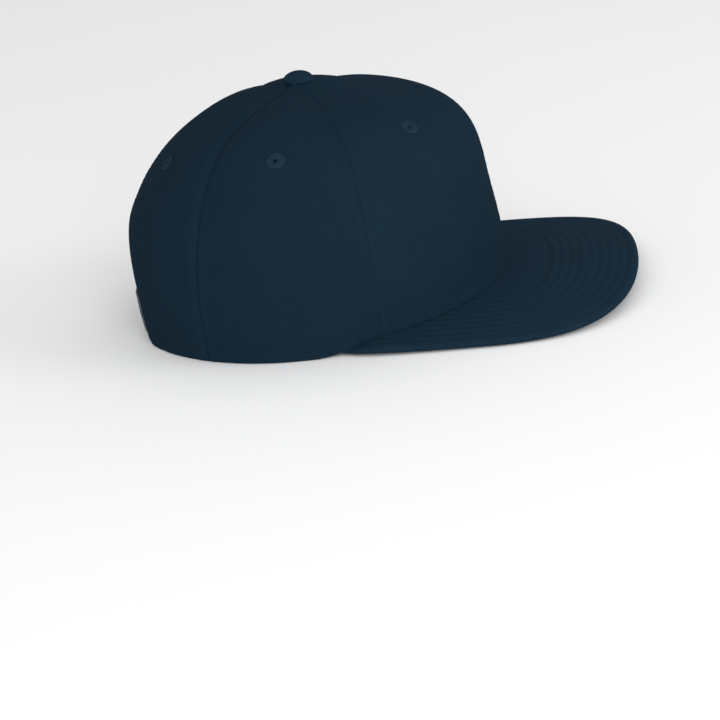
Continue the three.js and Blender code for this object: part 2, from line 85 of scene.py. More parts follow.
# Arched opening and snap strap.
ARCH_HALF_WIDTH = 46.5 * MM
ARCH_HEIGHT = 57 * MM
ARCH_FULLNESS = 2.6
ARCH_CORNER_RADIUS = 5 * MM
STRAP_WIDTH = 19 * MM
STRAP_RISE = 3 * MM
STRAP_THICKNESS = 1.5 * MM
STRAP_CORNER_RADIUS = 6 * MM
STRAP_SEWN_LENGTH = 14 * MM
STRAP_BOW = 6 * MM
STRAP_TIP_PAST = 23 * MM
SNAP_SPACING = 9 * MM
SNAP_COUNT = 7
SNAPS_CLOSED = 5
PEG_RADIUS = 1.7 * MM

# Sweatband, button and eyelets.
BAND_HEIGHT = 31 * MM
BAND_THICKNESS = 1.2 * MM
BAND_RISE = 1 * MM
BAND_STEP_LENGTH = 9 * MM
BAND_DROP_LENGTH = 10 * MM
BUTTON_RADIUS = 7.8 * MM
BUTTON_HEIGHT = 5 * MM
EYELET_RADIUS = 4.1 * MM
EYELET_HOLE_RADIUS = 0.8 * MM
SEAT_GAP = 0.3 * MM

# Cloth: the room that its solids leave for it, and the reach of its folded allowances.
CLOTH_ROOM = 1.6 * MM
FRONT_FLARE = 1.9 * MM
SEAM_ROUND = 1.05 * MM
SEAM_ALLOWANCE = (4.9 * MM, 6.6 * MM)
RIM_HEM = (4.0 * MM, 5.8 * MM)
ARCH_BINDING = (6.0 * MM, 8.0 * MM)
ARCH_ROWS = (1.6 * MM, 5.8 * MM)
HEM_HEIGHT = 0.3 * MM
GROOVE_DEPTH = 0.2 * MM
DIP_WIDTH = 6 * MM
SHOULDER_WIDTH = 2.3 * MM
VISOR_RELIEF = 0.5 * MM
BAND_ROW = 2.8 * MM
PEG_CLEARANCE = 0.25 * MM

# Counts of points: across and up a panel between its close rows, up the back panel beside and above
# the opening, along half of the visor's edge, out across the visor, and round a snap.
PANEL_COLUMNS = 46
PANEL_ROWS = 84
BACK_ROWS = (30, 40)
VISOR_COLUMNS = 170
VISOR_DEPTH_POINTS = 78
SNAP_SIDES = 32
# Counts of points on lines: those that lengths are measured along, the seams' and the rim's stitches.
FINE = 300
SEAM_POINTS = 160
RIM_POINTS = 700

# The middle of the rim lies a little behind the button's middle.
button_low, button_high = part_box("button")
MIDDLE_Y = (button_low.y + button_high.y) / 2 + BUTTON_FORWARD

# Distances from an edge at which the cloth has its closest rows of points.
EDGE_STEPS = MM * np.array([
    0, 0.07, 0.2, 0.38, 0.62, 0.95, 1.4, 2.0, 2.8, 3.5, 4.05, 4.6, 5.15, 5.7, 6.4, 7.3, 8.6, 10.2,
])
VISOR_STEPS = MM * np.array([
    0, 0.05, 0.17, 0.36, 0.6, 0.9, 1.25, 1.6, 2.1, 2.7, 3.4, 4.1, 4.6, 5.0, 5.4,
])
BAND_STEPS = MM * np.array([0, 0.06, 0.18, 0.35, 0.6, 1.0, 1.6, 2.2, 2.8, 3.5, 4.5])
PLAIN_STEPS = MM * np.array([0, 1.0])

# The cloth coordinates count in this length, and a distance of FAR lies beyond all of the cap.
CLOTH_UNIT = 0.1
FAR = 1.0
AIM_HEIGHT = 0.05


def length_setting(name, description, default):
    """A setting that is a length."""
    return bpy.props.FloatProperty(name=name, description=description, default=default, unit="LENGTH")


def angle_setting(name, description, degrees):
    """A setting that is an angle."""
    return bpy.props.FloatProperty(
        name=name, description=description, default=math.radians(degrees), subtype="ANGLE",
    )


def colour_setting(name, description, default):
    """A setting that is a colour."""
    return bpy.props.FloatVectorProperty(
        name=name, description=description, default=default, subtype="COLOR",
    )


class CapSizes(bpy.types.PropertyGroup):
    """Sizes of the cloth work that a maker would change."""

    wall: length_setting("Cloth wall", "Thickness of the crown's cloth with its stiffener", 1.5 * MM)
    seam_ridge: length_setting(
        "Seam ridge", "Height by which the folded seam allowance lifts the cloth", 0.32 * MM,
    )
    seam_row: length_setting(
        "Seam stitch row", "Distance of the crown's stitch rows from their seam", 4.8 * MM,
    )
    rim_row: length_setting("Rim stitch row", "Height of the stitch row above the rim", 3.8 * MM)
    stitch_pitch: length_setting("Stitch pitch", "Distance from one stitch to the next", 3.0 * MM)
    thread_radius: length_setting("Thread radius", "Radius of the sewing thread", 0.21 * MM)
    visor_rows: bpy.props.IntProperty(
        name="Visor rows", description="Number of stitch rows round the visor", default=9,
    )
    visor_row_spacing: length_setting(
        "Visor row spacing", "Distance between the visor's stitch rows", 4.85 * MM,
    )
    visor_first_row: length_setting(
        "Visor first row", "Distance of the outermost row from the visor's edge", 5.0 * MM,
    )


class CapColours(bpy.types.PropertyGroup):
    """Colours of the cap's cloths, threads and plastic."""

    crown: colour_setting("Crown cloth", "Colour of the crown's twill", (0.0075, 0.0193, 0.0328))
    visor: colour_setting("Visor cloth", "Colour of the visor's twill", (0.0091, 0.0234, 0.0398))
    button: colour_setting(
        "Button cloth", "Colour of the twill over the button", (0.0091, 0.0231, 0.0392),
    )
    thread: colour_setting("Sewing thread", "Colour of the stitches", (0.0074, 0.0190, 0.0325))
    rim_thread: colour_setting(
        "Rim thread", "Colour of the stitches above the rim", (0.0105, 0.0256, 0.0427),
    )
    eyelet: colour_setting(
        "Eyelet thread", "Colour of the embroidered eyelets", (0.0125, 0.0285, 0.0465),
    )
    band: colour_setting("Sweatband", "Colour of the sweatband's cotton", (0.012, 0.022, 0.034))
    strap: colour_setting("Strap", "Colour of the snap strap's plastic", (0.010, 0.020, 0.034))


class StageSettings(bpy.types.PropertyGroup):
    """Floor, light and camera."""

    floor: colour_setting("Floor", "Colour of the floor", (0.93, 0.935, 0.94))
    sky_strength: bpy.props.FloatProperty(
        name="Surrounding light", description="Strength of the light from all round", default=0.78,
    )
    key_power: bpy.props.FloatProperty(
        name="Key light", description="Power of the large soft light", default=10.0, unit="POWER",
    )
    azimuth: angle_setting("Azimuth", "Direction the camera looks from, round the cap", 278.06)
    elevation: angle_setting(
        "Elevation", "Height of the camera above the horizon, as an angle", 15.81,
    )
    roll: angle_setting("Roll", "How far the camera is turned about its view", 7.49)
    aim_right: length_setting(
        "Aim to the right", "How far right of the crown the camera is aimed", 20.7 * MM,
    )
    aim_up: length_setting(
        "Aim upwards", "How far above the crown's middle the camera is aimed", -82 * MM,
    )
    distance: length_setting("Distance", "Distance of the camera from the cap", 1.0)
    lens: bpy.props.FloatProperty(
        name="Lens", description="Focal length in millimetres on a 36 mm sensor", default=98.3,
    )


def mix(a, b, share):
    """The value a share of the way from a to b."""
    return a + (b - a) * share


def smooth(value, low, high):
    """A soft step: nought below low, one above high, and 3 t squared less 2 t cubed between."""
    t = np.clip((value - low) / (high - low), 0, 1)
    return t * t * (3 - 2 * t)


def bell(value, width):
    """A bell curve: e to the power of minus the square of value over width."""
    return np.exp(-((value / width) ** 2))


def unit(vectors):
    """Vectors shortened to length one."""
    return vectors / np.linalg.norm(vectors, axis=-1, keepdims=True)


def place(forward, aside, up):
    """Points from their measures towards the visor, towards the wearer's left and up."""
    forward, aside, up = np.broadcast_arrays(forward, aside, up)
    return np.stack([aside, MIDDLE_Y - forward, up], axis=-1)


def rim_point(angle):
    """Reach times the cosine forward and half width times the sine aside, on two half ellipses."""
    reach = np.where(np.cos(angle) > 0, RIM_FRONT_REACH, RIM_BACK_REACH)
    return reach * np.cos(angle), RIM_HALF_WIDTH * np.sin(angle)


RIM_ANGLES = np.linspace(0, np.pi, 1441)
rim_forward, rim_aside = rim_point(RIM_ANGLES)
rim_steps = np.hypot(np.diff(rim_forward), np.diff(rim_aside))
RIM_LENGTHS = np.concatenate([[0], np.cumsum(rim_steps)])
HALF_RIM = RIM_LENGTHS[-1]
RIM_BEARINGS = np.arctan2(rim_aside, rim_forward - BUTTON_FORWARD)


def rim_angle_at(share):
    """The angle round the rim at a signed share of its half length, from the front."""
    share = np.asarray(share, float)
    return np.sign(share) * np.interp(np.abs(share) * HALF_RIM, RIM_LENGTHS, RIM_ANGLES)


def rim_share_at(angle):
    """The signed share of the rim's half length at an angle."""
    angle = np.asarray(angle, float)
    return np.sign(angle) * np.interp(np.abs(angle), RIM_ANGLES, RIM_LENGTHS) / HALF_RIM


def rim_length(angle):
    """The length along the rim from the front to an angle."""
    return np.interp(np.abs(angle), RIM_ANGLES, RIM_LENGTHS)


def rim_reach_at(angle):
    """The level distance from the button's middle to the rim."""
    forward, aside = rim_point(angle)
    return np.hypot(forward - BUTTON_FORWARD, aside)


def button_distance(point):
    """The level distance of crown points from the button's middle."""
    return np.hypot(MIDDLE_Y - point[..., 1] - BUTTON_FORWARD, point[..., 0])


def rim_angle_towards(bearing):
    """The angle round the rim that lies at a bearing from the button's middle."""
    turned = (bearing + np.pi) % (2 * np.pi) - np.pi
    return np.sign(turned) * np.interp(np.abs(turned), RIM_BEARINGS, RIM_ANGLES)


def crown_form(angle):
    """Front, side and back forms mixed by squared cosine forward, squared sine, squared cosine back."""
    cosine = np.cos(angle)
    weights = np.stack([np.clip(cosine, 0, 1) ** 2, np.sin(angle) ** 2, np.clip(-cosine, 0, 1) ** 2], -1)
    form = weights @ CROWN_FORMS
    return form[..., 0], form[..., 1], form[..., 2]


def crown_surface(angle, climb):
    """A ray at the climb meets reach to the plan power plus height to the rise power equals one.

    The reach is found by halving, and then bowed by lean times height times the sine of pi times the
    height share. The top gains a peak, a bell curve of the distance from the button's middle.
    """
    angle, climb = np.broadcast_arrays(np.asarray(angle, float), np.asarray(climb, float))
    plan, rise, lean = crown_form(angle)
    across = np.maximum(np.cos(climb), 1e-9)
    up = np.maximum(np.sin(climb), 0)
    least, most, rounds = 0.9, 1.5, 34
    low = np.full(angle.shape, least)
    high = np.full(angle.shape, most)
    for _ in range(rounds):
        middle = (low + high) / 2
        inside = (middle * across) ** plan + (middle * up) ** rise < 1
        low = np.where(inside, middle, low)
        high = np.where(inside, high, middle)
    forward, aside = rim_point(angle)
    rim_reach = np.hypot(forward - BUTTON_FORWARD, aside)
    bow = lean * CROWN_HEIGHT * np.sin(np.pi * low * up)
    scale = low * across * (1 + bow / rim_reach)
    peak = PEAK_HEIGHT * bell(scale * rim_reach, PEAK_RADIUS)
    centre = BUTTON_FORWARD + (forward - BUTTON_FORWARD) * scale
    return place(centre, aside * scale, CROWN_HEIGHT * low * up + peak)


def crown_normal(angle, climb):
    """The outward direction: the slope round the crown crossed with the slope up it."""
    step = 0.002
    along = crown_surface(angle + step, climb) - crown_surface(angle - step, climb)
    above = crown_surface(angle, climb + step) - crown_surface(angle, climb - step)
    return unit(np.cross(along, above))


def level_normal(angle, climb):
    """The outward direction laid level."""
    normal = crown_normal(angle, climb)
    normal[..., 2] = 0
    return unit(normal)


def climb_at_height(angle, up):
    """The climb whose ray meets the section at a height above the rim."""
    plan, rise, _ = crown_form(angle)
    height = np.clip(up / CROWN_HEIGHT, 0, 0.9999)
    return np.arctan2(height, (1 - height**rise) ** (1 / plan))


def climb_at_radius(angle, radius):
    """The climb whose ray meets the section at a distance from the button's middle."""
    plan, rise, _ = crown_form(angle)
    reach = radius / rim_reach_at(angle)
    return np.arctan2((1 - reach**plan) ** (1 / rise), reach)


def crown_inside(angle, up, depth):
    """A point at a height and at a level depth from the crown's outer face."""
    climb = climb_at_height(angle, up)
    return crown_surface(angle, climb) - level_normal(angle, climb) * np.asarray(depth)[..., None]


def rim_inside(angle, depth):
    """A point of the rim moved level inwards, as its forward and aside measures."""
    point = crown_surface(angle, np.full(np.shape(angle), 1e-4)) - level_normal(angle, 1e-4) * depth
    return MIDDLE_Y - point[..., 1], point[..., 0]


def list_seam_bearings():
    """The bearings of the six seams from the button: centre front, both pairs of sides, centre back."""
    shares = np.array([0, 0.37, -0.37, 0.67, -0.67, 1.0])
    forward, aside = rim_point(rim_angle_at(shares))
    return np.arctan2(aside, forward - BUTTON_FORWARD)


SEAM_BEARINGS = list_seam_bearings()
# For each seam: how far its edges turn in and how high its folded allowance stands, as shares of a
# full seam's, and the depths of its broad dip near the top and of its narrow shoulders.
SEAM_GROOVE = np.array([0.7, 0.3, 0.3, 1.0, 1.0, 0.7])
SEAM_RIDGE = np.array([1.0, 0.35, 0.35, 1.2, 1.2, 0.8])
SEAM_VALLEY = np.array([0.6, 1.3, 1.3, 1.3, 1.3, 0.8]) * MM
SEAM_SHOULDER = np.array([0.2, 0.1, 0.1, 0.45, 0.45, 0.25]) * MM
CENTRE_BACK = 5


def visor_top(forward, aside):
    """The root height less the tilt, less the sag by the squared share aside, less the corner's drop."""
    root = VISOR_THICKNESS + VISOR_SAG + (RIM_FRONT_REACH - VISOR_WIDEST_FORWARD) * VISOR_SLOPE
    tilt = (forward - RIM_FRONT_REACH) * VISOR_SLOPE
    sag = VISOR_SAG * (aside / VISOR_HALF_WIDTH) ** 2
    return root - tilt - sag - VISOR_CORNER_DROP * corner_nearness(forward, aside)


CORNER_FORWARD, CORNER_ASIDE = rim_point(VISOR_CORNER_ANGLE)


def corner_nearness(forward, aside):
    """A bell curve of the distance from the visor's corner at the rim."""
    return bell(np.hypot(forward - CORNER_FORWARD, np.abs(aside) - CORNER_ASIDE), VISOR_CORNER_LENGTH)


def visor_depth(forward, aside):
    """The visor's thickness, less near its corners."""
    return mix(VISOR_THICKNESS, VISOR_CORNER_THICKNESS, corner_nearness(forward, aside))


def lower_edge(angle):
    """The height of the crown's lower edge: just over the visor in front and down at nought behind.

    It is the visor's height a little outside the rim, times one less a soft step of the distance past
    the visor's corner.
    """
    outside, gap, lead = 0.8 * MM, 0.1 * MM, 8 * MM
    away = np.abs(angle)
    forward, aside = rim_inside(np.minimum(away, VISOR_CORNER_ANGLE), -outside)
    height = visor_top(forward, aside) + gap
    rim_forward, rim_aside = rim_point(away)
    past = np.hypot(rim_forward - CORNER_FORWARD, rim_aside - CORNER_ASIDE)
    past = past * np.sign(away - VISOR_CORNER_ANGLE)
    return height * (1 - smooth(past, -lead, EDGE_DROP_LENGTH))


def arch_outline(grow=0.0):
    """Aside and up measures along the opening's edge, from the rim to its top.

    A quarter circle leaves the rim, then aside and up are powers of the cosine and sine of a turn.
    grow moves the line outwards along its normal.
    """
    turn = np.linspace(-np.pi / 2, -np.pi, 20)
    fillet_a = ARCH_HALF_WIDTH + ARCH_CORNER_RADIUS * (1 + np.cos(turn))
    fillet_u = ARCH_CORNER_RADIUS * (1 + np.sin(turn))
    power = 2 / ARCH_FULLNESS
    turn = np.linspace(0.001, 1, 400) * np.pi / 2
    arch_a = ARCH_HALF_WIDTH * np.cos(turn) ** power
    arch_u = ARCH_HEIGHT * np.sin(turn) ** power
    keep = arch_u > ARCH_CORNER_RADIUS * 1.02
    aside = np.concatenate([fillet_a, arch_a[keep]])
    up = np.concatenate([fillet_u, arch_u[keep]])
    line = np.stack([aside, up], -1)
    line[-1, 0] = 0
    if grow:
        slope = unit(np.gradient(line, axis=0))
        line = line + np.stack([slope[:, 1], -slope[:, 0]], -1) * grow
        line = line[(line[:, 1] > 0) & (line[:, 0] >= 0)]
    return line


ARCH_LINE = arch_outline()


def distance_to_line(points, line):
    """The least distance of each flat point from a line of short straight steps."""
    start, step = line[:-1], np.diff(line, axis=0)
    long = np.maximum((step**2).sum(-1), 1e-18)
    away = points[:, None] - start[None]
    share = np.clip((away * step).sum(-1) / long, 0, 1)
    return np.linalg.norm(away - share[..., None] * step, axis=-1).min(axis=1)


def halve_back(aside_of, aside, rounds):
    """Two close angles at the back between which a falling measure of the angle passes a value."""
    low = np.full(np.shape(aside), np.pi / 2)
    high = np.full(np.shape(aside), np.pi)
    for _ in range(rounds):
        angle = (low + high) / 2
        outside = aside_of(angle) > aside
        low = np.where(outside, angle, low)
        high = np.where(outside, high, angle)
    return low, high


def crown_back_at(aside, up):
    """The angle at which the back of the crown has an aside measure at a height."""
    def aside_of(angle):
        return crown_surface(angle, climb_at_height(angle, up))[..., 0]

    low, high = halve_back(aside_of, aside, 30)
    return (low + high) / 2


def crown_features(point, angle):
    """Distances of crown points from the nearest seam, and its number, the rim and the opening."""
    forward = MIDDLE_Y - point[..., 1] - BUTTON_FORWARD
    aside = point[..., 0]
    cosine, sine = np.cos(SEAM_BEARINGS), np.sin(SEAM_BEARINGS)
    along = forward[..., None] * cosine + aside[..., None] * sine
    across = np.abs(forward[..., None] * sine - aside[..., None] * cosine)
    across = np.where(along > 0, across, FAR)
    seam = np.argmin(across, axis=-1)
    seam_away = np.min(across, axis=-1)
    rim_away = np.maximum(point[..., 2] - lower_edge(angle), 0)
    flat = np.stack([np.abs(aside), point[..., 2]], -1)
    near = flat < np.array([ARCH_HALF_WIDTH + 20 * MM, ARCH_HEIGHT + 15 * MM])
    near = near.all(axis=-1) & (forward < 0)
    arch_away = np.full(aside.shape, FAR)
    if near.any():
        arch_away[near] = distance_to_line(flat[near], ARCH_LINE)
    return seam_away, seam, rim_away, arch_away


def rolled(distance, radius):
    """How far a rounded edge falls back: the radius less the height of a quarter circle."""
    t = np.clip(1 - distance / radius, 0, 1)
    return radius * (1 - np.sqrt(1 - t * t))


def ripples(length, *waves):
    """Sines of a length, each with its height, its wavelength and its start."""
    return sum(height * np.sin(2 * np.pi * length / wave + start) for height, wave, start in waves)


def seam_relief(up, radius, seam_away, seam, sizes):
    """A seam's folded allowance less the groove under its stitch row, with puckers along it."""
    row_away = seam_away - sizes.seam_row
    ridge = sizes.seam_ridge * SEAM_RIDGE[seam] * (1 - smooth(seam_away, *SEAM_ALLOWANCE))
    ridge = ridge * button_clearance(radius)
    groove = GROOVE_DEPTH * SEAM_RIDGE[seam] * bell(row_away, 0.55 * MM)
    pucker = ripples(up - radius, (0.6, 7.3 * MM, seam), (0.4, 4.1 * MM, 0))
    return ridge - groove + 0.1 * MM * SEAM_RIDGE[seam] * pucker * bell(row_away, 3.2 * MM)


def hem_relief(angle, rim_away, sizes):
    """The fold above the rim less the groove under its stitch row, with waves along it."""
    row_away = rim_away - sizes.rim_row
    fold = HEM_HEIGHT * (1 - smooth(rim_away, *RIM_HEM)) - GROOVE_DEPTH * bell(row_away, 0.5 * MM)
    wave = ripples(rim_length(angle), (0.5, 8.7 * MM, 0), (0.5, 5.3 * MM, 1.3))
    return fold + 0.1 * MM * wave * bell(row_away, 2.2 * MM)


def binding_relief(arch_away):
    """The fold round the opening less the grooves under its two stitch rows."""
    inner, outer = ARCH_ROWS
    fold = HEM_HEIGHT * (1 - smooth(arch_away, *ARCH_BINDING))
    fold = fold - GROOVE_DEPTH * bell(arch_away - outer, 0.55 * MM)
    return fold - 0.15 * MM * bell(arch_away - inner, 0.5 * MM)


def button_clearance(radius):
    """One far from the button and falling to nought at its middle."""
    return radius / (radius + 5 * MM)


def crown_face(angle, climb, depth, sizes, edges=True):
    """Points on the crown's cloth at a depth, with the outward direction and the relief's height, which
    the twill also uses for painted highlight and shade.

    The base surface is moved along its normal by the relief beside each seam, the rim and the opening,
    by slow waves that are sines of the angle and the height, by the flare in front above the visor, a
    soft step down the height times the cosine of the angle, and by the broad dip at each seam, a bell
    curve that grows towards the top and ends at the button. At an edge both faces turn in together.
    """
    angle, climb = np.broadcast_arrays(np.asarray(angle, float), np.asarray(climb, float))
    point = crown_surface(angle, climb)
    normal = crown_normal(angle, climb)
    seam_away, seam, rim_away, arch_away = crown_features(point, angle)
    radius = button_distance(point)
    up = point[..., 2]
    dip = SEAM_VALLEY[seam] * smooth(up, 40 * MM, 85 * MM) * bell(seam_away, DIP_WIDTH)
    dip = dip * np.clip(radius / BUTTON_RADIUS - 0.8, 0, 1)
    flare = FRONT_FLARE * (1 - smooth(up, 30 * MM, 62 * MM)) * np.clip(np.cos(angle), 0, 1)
    slow = 0.22 * MM * np.sin(4 * angle + 61 * up + 0.7) + 0.16 * MM * np.sin(7 * angle - 94 * up)
    hem = hem_relief(angle, rim_away, sizes) * (rim_away < 12 * MM)
    edging = np.where(arch_away < 9 * MM, binding_relief(arch_away), hem)
    outer = seam_relief(up, radius, seam_away, seam, sizes) + edging
    relief = outer * (1.0 if depth == 0 else 0.25)
    offset = relief + slow + flare - dip - depth
    if edges:
        climbing = smooth(up, 40 * MM, 80 * MM)
        half = sizes.wall / 2
        seam_fall = rolled(seam_away, SEAM_ROUND * (1 + 0.5 * climbing)) * half / SEAM_ROUND
        fall = seam_fall * SEAM_GROOVE[seam]
        fall = np.minimum(fall, half * 0.96) * smooth(radius, 5 * MM, 13 * MM)
        sewn = np.abs(angle) < VISOR_CORNER_ANGLE
        fall = np.maximum(fall, rolled(rim_away, half * np.where(sewn, 0.75, 0.98)))
        fall = np.maximum(fall, rolled(arch_away, half * 0.98))
        shoulder = SEAM_SHOULDER[seam] * bell(seam_away, SHOULDER_WIDTH) * button_clearance(radius)
        shoulder = shoulder * (1 + climbing)
        offset = offset - shoulder + (-fall if depth == 0 else fall)
    return point + normal * offset[..., None], normal, outer


def crowded(width, close, between, last=None):
    """Shares across each width: close distances in from the ends, and even steps between them.

    Where the width is small the close distances are squeezed to two fifths of it.
    """
    last = close if last is None else last
    width = np.atleast_1d(width)
    first = close[None] * np.minimum(1, 0.4 * width / close[-1])[:, None] / width[:, None]
    final = 1 - last[None, ::-1] * np.minimum(1, 0.4 * width / last[-1])[:, None] / width[:, None]
    share = np.linspace(0, 1, between + 2)[1:-1]
    middle = mix(first[:, -1:], final[:, :1], share)
    return np.concatenate([first, middle, final], axis=1)


def along_line(points):
    """The length along a line of points up to each of them."""
    return np.concatenate([[0], np.cumsum(np.linalg.norm(np.diff(points, axis=0), axis=-1))])


def panel_grid(name, side):
    """Angles and climbs of a panel's points, row by row from the rim to the tip.

    In front and at the sides the rows run between two seams. Behind, they run from the side seam to
    the opening's edge and then, above the opening, to the centre seam.
    """
    start, end = PANEL_SHARES[name]
    if name == "back":
        return back_panel_grid(start, side)
    middle = rim_angle_at(side * (start + end) / 2)
    share = np.linspace(0, 1, FINE)
    bottom = climb_at_height(middle, lower_edge(middle))
    points = crown_surface(middle, mix(bottom, climb_at_radius(middle, PANEL_TIP_RADIUS), share))
    lengths = along_line(points)
    heights = crowded(lengths[-1], EDGE_STEPS, PANEL_ROWS, PLAIN_STEPS)[0] * lengths[-1]
    rows = np.interp(heights, lengths, share)
    radius = button_distance(points)
    width = (end - start) * HALF_RIM * np.interp(heights, lengths, radius) / radius[0]
    across = crowded(width, EDGE_STEPS, PANEL_COLUMNS)
    angle = rim_angle_at(side * mix(start, end, across))
    low = climb_at_height(angle, lower_edge(angle))
    high = climb_at_radius(angle, PANEL_TIP_RADIUS)
    return angle, mix(low, high, rows[:, None])


def back_panel_grid(start, side):
    """The back panel's angles and climbs, mixed between its side seam and its inner boundary."""
    arch_angle = crown_back_at(ARCH_LINE[:, 0], ARCH_LINE[:, 1])
    arch_climb = climb_at_height(arch_angle, ARCH_LINE[:, 1])
    arch_angle[-1] = np.pi
    seam_climb = np.linspace(arch_climb[-1], climb_at_radius(np.pi, PANEL_TIP_RADIUS), FINE)
    arch_lengths = along_line(crown_surface(arch_angle, arch_climb))
    seam_lengths = along_line(crown_surface(np.full(FINE, np.pi), seam_climb))
    arch_end, seam_end = arch_lengths[-1], seam_lengths[-1]
    on_arch = crowded(arch_end, EDGE_STEPS, BACK_ROWS[0])[0] * arch_end
    on_seam = (crowded(seam_end, EDGE_STEPS, BACK_ROWS[1], PLAIN_STEPS)[0] * seam_end)[1:]
    inner_angle = np.concatenate([
        np.interp(on_arch, arch_lengths, arch_angle), np.full(len(on_seam), np.pi),
    ])
    inner_climb = np.concatenate([
        np.interp(on_arch, arch_lengths, arch_climb), np.interp(on_seam, seam_lengths, seam_climb),
    ])
    done = np.concatenate([on_arch, arch_end + on_seam]) / (arch_end + seam_end)
    outer_angle = rim_angle_at(start)
    climbs = mix(0, climb_at_radius(outer_angle, PANEL_TIP_RADIUS), np.linspace(0, 1, FINE))
    lengths = along_line(crown_surface(np.full(FINE, outer_angle), climbs))
    outer_climb = np.interp(done * lengths[-1], lengths, climbs)
    left = crown_surface(np.full(len(done), outer_angle), outer_climb)
    right = crown_surface(inner_angle, inner_climb)
    bulge = 1.04
    across = crowded(np.linalg.norm(left - right, axis=-1) * bulge, EDGE_STEPS, PANEL_COLUMNS)
    share = mix(start, rim_share_at(inner_angle)[:, None], across)
    return side * rim_angle_at(share), mix(outer_climb[:, None], inner_climb[:, None], across)


def grid_quads(rows, columns, closed=False):
    """The four-sided faces of a grid of points, closed round its columns if wanted."""
    index = np.arange(rows * columns).reshape(rows, columns)
    if closed:
        index = np.concatenate([index, index[:, :1]], axis=1)
    faces = [index[:-1, :-1], index[:-1, 1:], index[1:, 1:], index[1:, :-1]]
    return np.stack(faces, axis=-1).reshape(-1, 4)


def open_edges(quads):
    """The edges that only one face uses, in the direction in which that face runs."""
    edges = np.concatenate([quads[:, [i, (i + 1) % 4]] for i in range(4)])
    edges = edges[edges[:, 0] != edges[:, 1]]
    ordered = np.sort(edges, axis=1)
    key = ordered[:, 0].astype(np.int64) * (quads.max() + 1) + ordered[:, 1]
    _, back, counts = np.unique(key, return_inverse=True, return_counts=True)
    return edges[counts[back] == 1]


def close_shell(outer, inner, quads):
    """A closed shell: the outer faces, the inner faces turned round, and walls along the open edges."""
    count = len(outer)
    edges = open_edges(quads)
    walls = np.stack([edges[:, 1], edges[:, 0], edges[:, 0] + count, edges[:, 1] + count], -1)
    return np.concatenate([outer, inner]), np.concatenate([quads, quads[:, ::-1] + count, walls])


def enclosed(points, quads):
    """Six times the volume inside the faces, which is negative when they face inwards."""
    a, b, c, d = (points[quads[:, i]] for i in range(4))
    return (a * np.cross(b, c)).sum() + (a * np.cross(c, d)).sum()


def face_outwards(points, quads):
    """The faces of a closed body, turned round if they face inwards."""
    return quads[:, ::-1] if enclosed(points, quads) < 0 else quads


def make_piece(name, points, quads, material, cloth_uv=None, relief=None):
    """A mesh object from points and four-sided faces, with its cloth coordinates and relief, whose height
    paints highlight and shade into the cloth's colour.
    """
    quads = face_outwards(points, quads)
    mesh = bpy.data.meshes.new(name)
    mesh.vertices.add(len(points))
    mesh.vertices.foreach_set("co", np.ascontiguousarray(points, np.float32).ravel())
    mesh.loops.add(quads.size)
    mesh.loops.foreach_set("vertex_index", np.ascontiguousarray(quads, np.int32).ravel())
    mesh.polygons.add(len(quads))
    mesh.polygons.foreach_set("loop_start", np.arange(0, quads.size, 4, dtype=np.int32))
    mesh.polygons.foreach_set("use_smooth", np.ones(len(quads), bool))
    mesh.update(calc_edges=True)
    if cloth_uv is not None:
        layer = mesh.uv_layers.new(name="cloth")
        layer.data.foreach_set("uv", np.ascontiguousarray(cloth_uv[quads], np.float32).ravel())
    # The relief attribute paints a highlight on raised cloth and shade in its grooves.
    if relief is not None:
        attribute = mesh.attributes.new("relief", "FLOAT", "POINT")
        attribute.data.foreach_set("value", np.ascontiguousarray(relief, np.float32).ravel())
    mesh.materials.append(material)
    piece = bpy.data.objects.new(name, mesh)
    bpy.context.scene.collection.objects.link(piece)
    return piece


def fit_in(piece, slot, *nodes):
    """The piece rides on the cap and stands for its solids, which it hides; slot is not used."""
    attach(piece, "root")
    if nodes:
        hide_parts(*nodes)
    return piece


class NodeBench:
    """Makes the nodes of one material and joins them."""

    def __init__(self, name):
        self.material = bpy.data.materials.new(name)
        self.material.use_nodes = True
        self.tree = self.material.node_tree
        self.shader = self.tree.nodes["Principled BSDF"]

    def node(self, kind, inputs=None, **settings):
        """A node of a kind with its settings and its inputs."""
        node = self.tree.nodes.new(kind)
        for key, value in settings.items():
            setattr(node, key, value)
        for key, value in (inputs or {}).items():
            self.give(node.inputs[key], value)
        return node

    def give(self, socket, value):
        """Links an output to a socket, or sets the socket to a value."""
        if isinstance(value, bpy.types.NodeSocket):
            self.tree.links.new(value, socket)
        else:
            socket.default_value = value

    def maths(self, operation, first, second=0.0):
        """The output of one sum, product or function."""
        return self.node("ShaderNodeMath", {0: first, 1: second}, operation=operation).outputs[0]

    def total(self, start, *parts):
        """The start plus each part times its weight."""
        for part, weight in parts:
            start = self.maths("ADD", start, self.maths("MULTIPLY", part, weight))
        return start

    def settle(self, **settings):
        """Gives the shader its inputs, named with low lines for their blanks."""
        for key, value in settings.items():
            self.give(self.shader.inputs[key.replace("_", " ")], value)

    def bump(self, height, strength, distance):
        """The direction of the surface, tilted by a height."""
        node = self.node("ShaderNodeBump", {"Height": height, "Strength": strength, "Distance": distance})
        return node.outputs[0]

    def dot(self, vector, direction):
        """A measure along a direction."""
        node = self.node("ShaderNodeVectorMath", {0: vector, 1: direction}, operation="DOT_PRODUCT")
        return node.outputs["Value"]

    def noise(self, vector, scale, detail=2.0, flat=True):
        """Soft noise from nought to one."""
        node = self.node(
            "ShaderNodeTexNoise", {"Vector": vector, "Scale": scale, "Detail": detail},
            noise_dimensions="2D" if flat else "3D",
        )
        return node.outputs["Fac"]

    def blend(self, share, first, second):
        """A colour between two colours."""
        node = self.node("ShaderNodeMix", data_type="RGBA")
        self.give(node.inputs[0], share)
        self.give(node.inputs[6], first)
        self.give(node.inputs[7], second)
        return node.outputs[2]


def shade(colour, factor):
    """A colour made darker or lighter, with its alpha."""
    return tuple(min(channel * factor, 1.0) for channel in colour) + (1.0,)


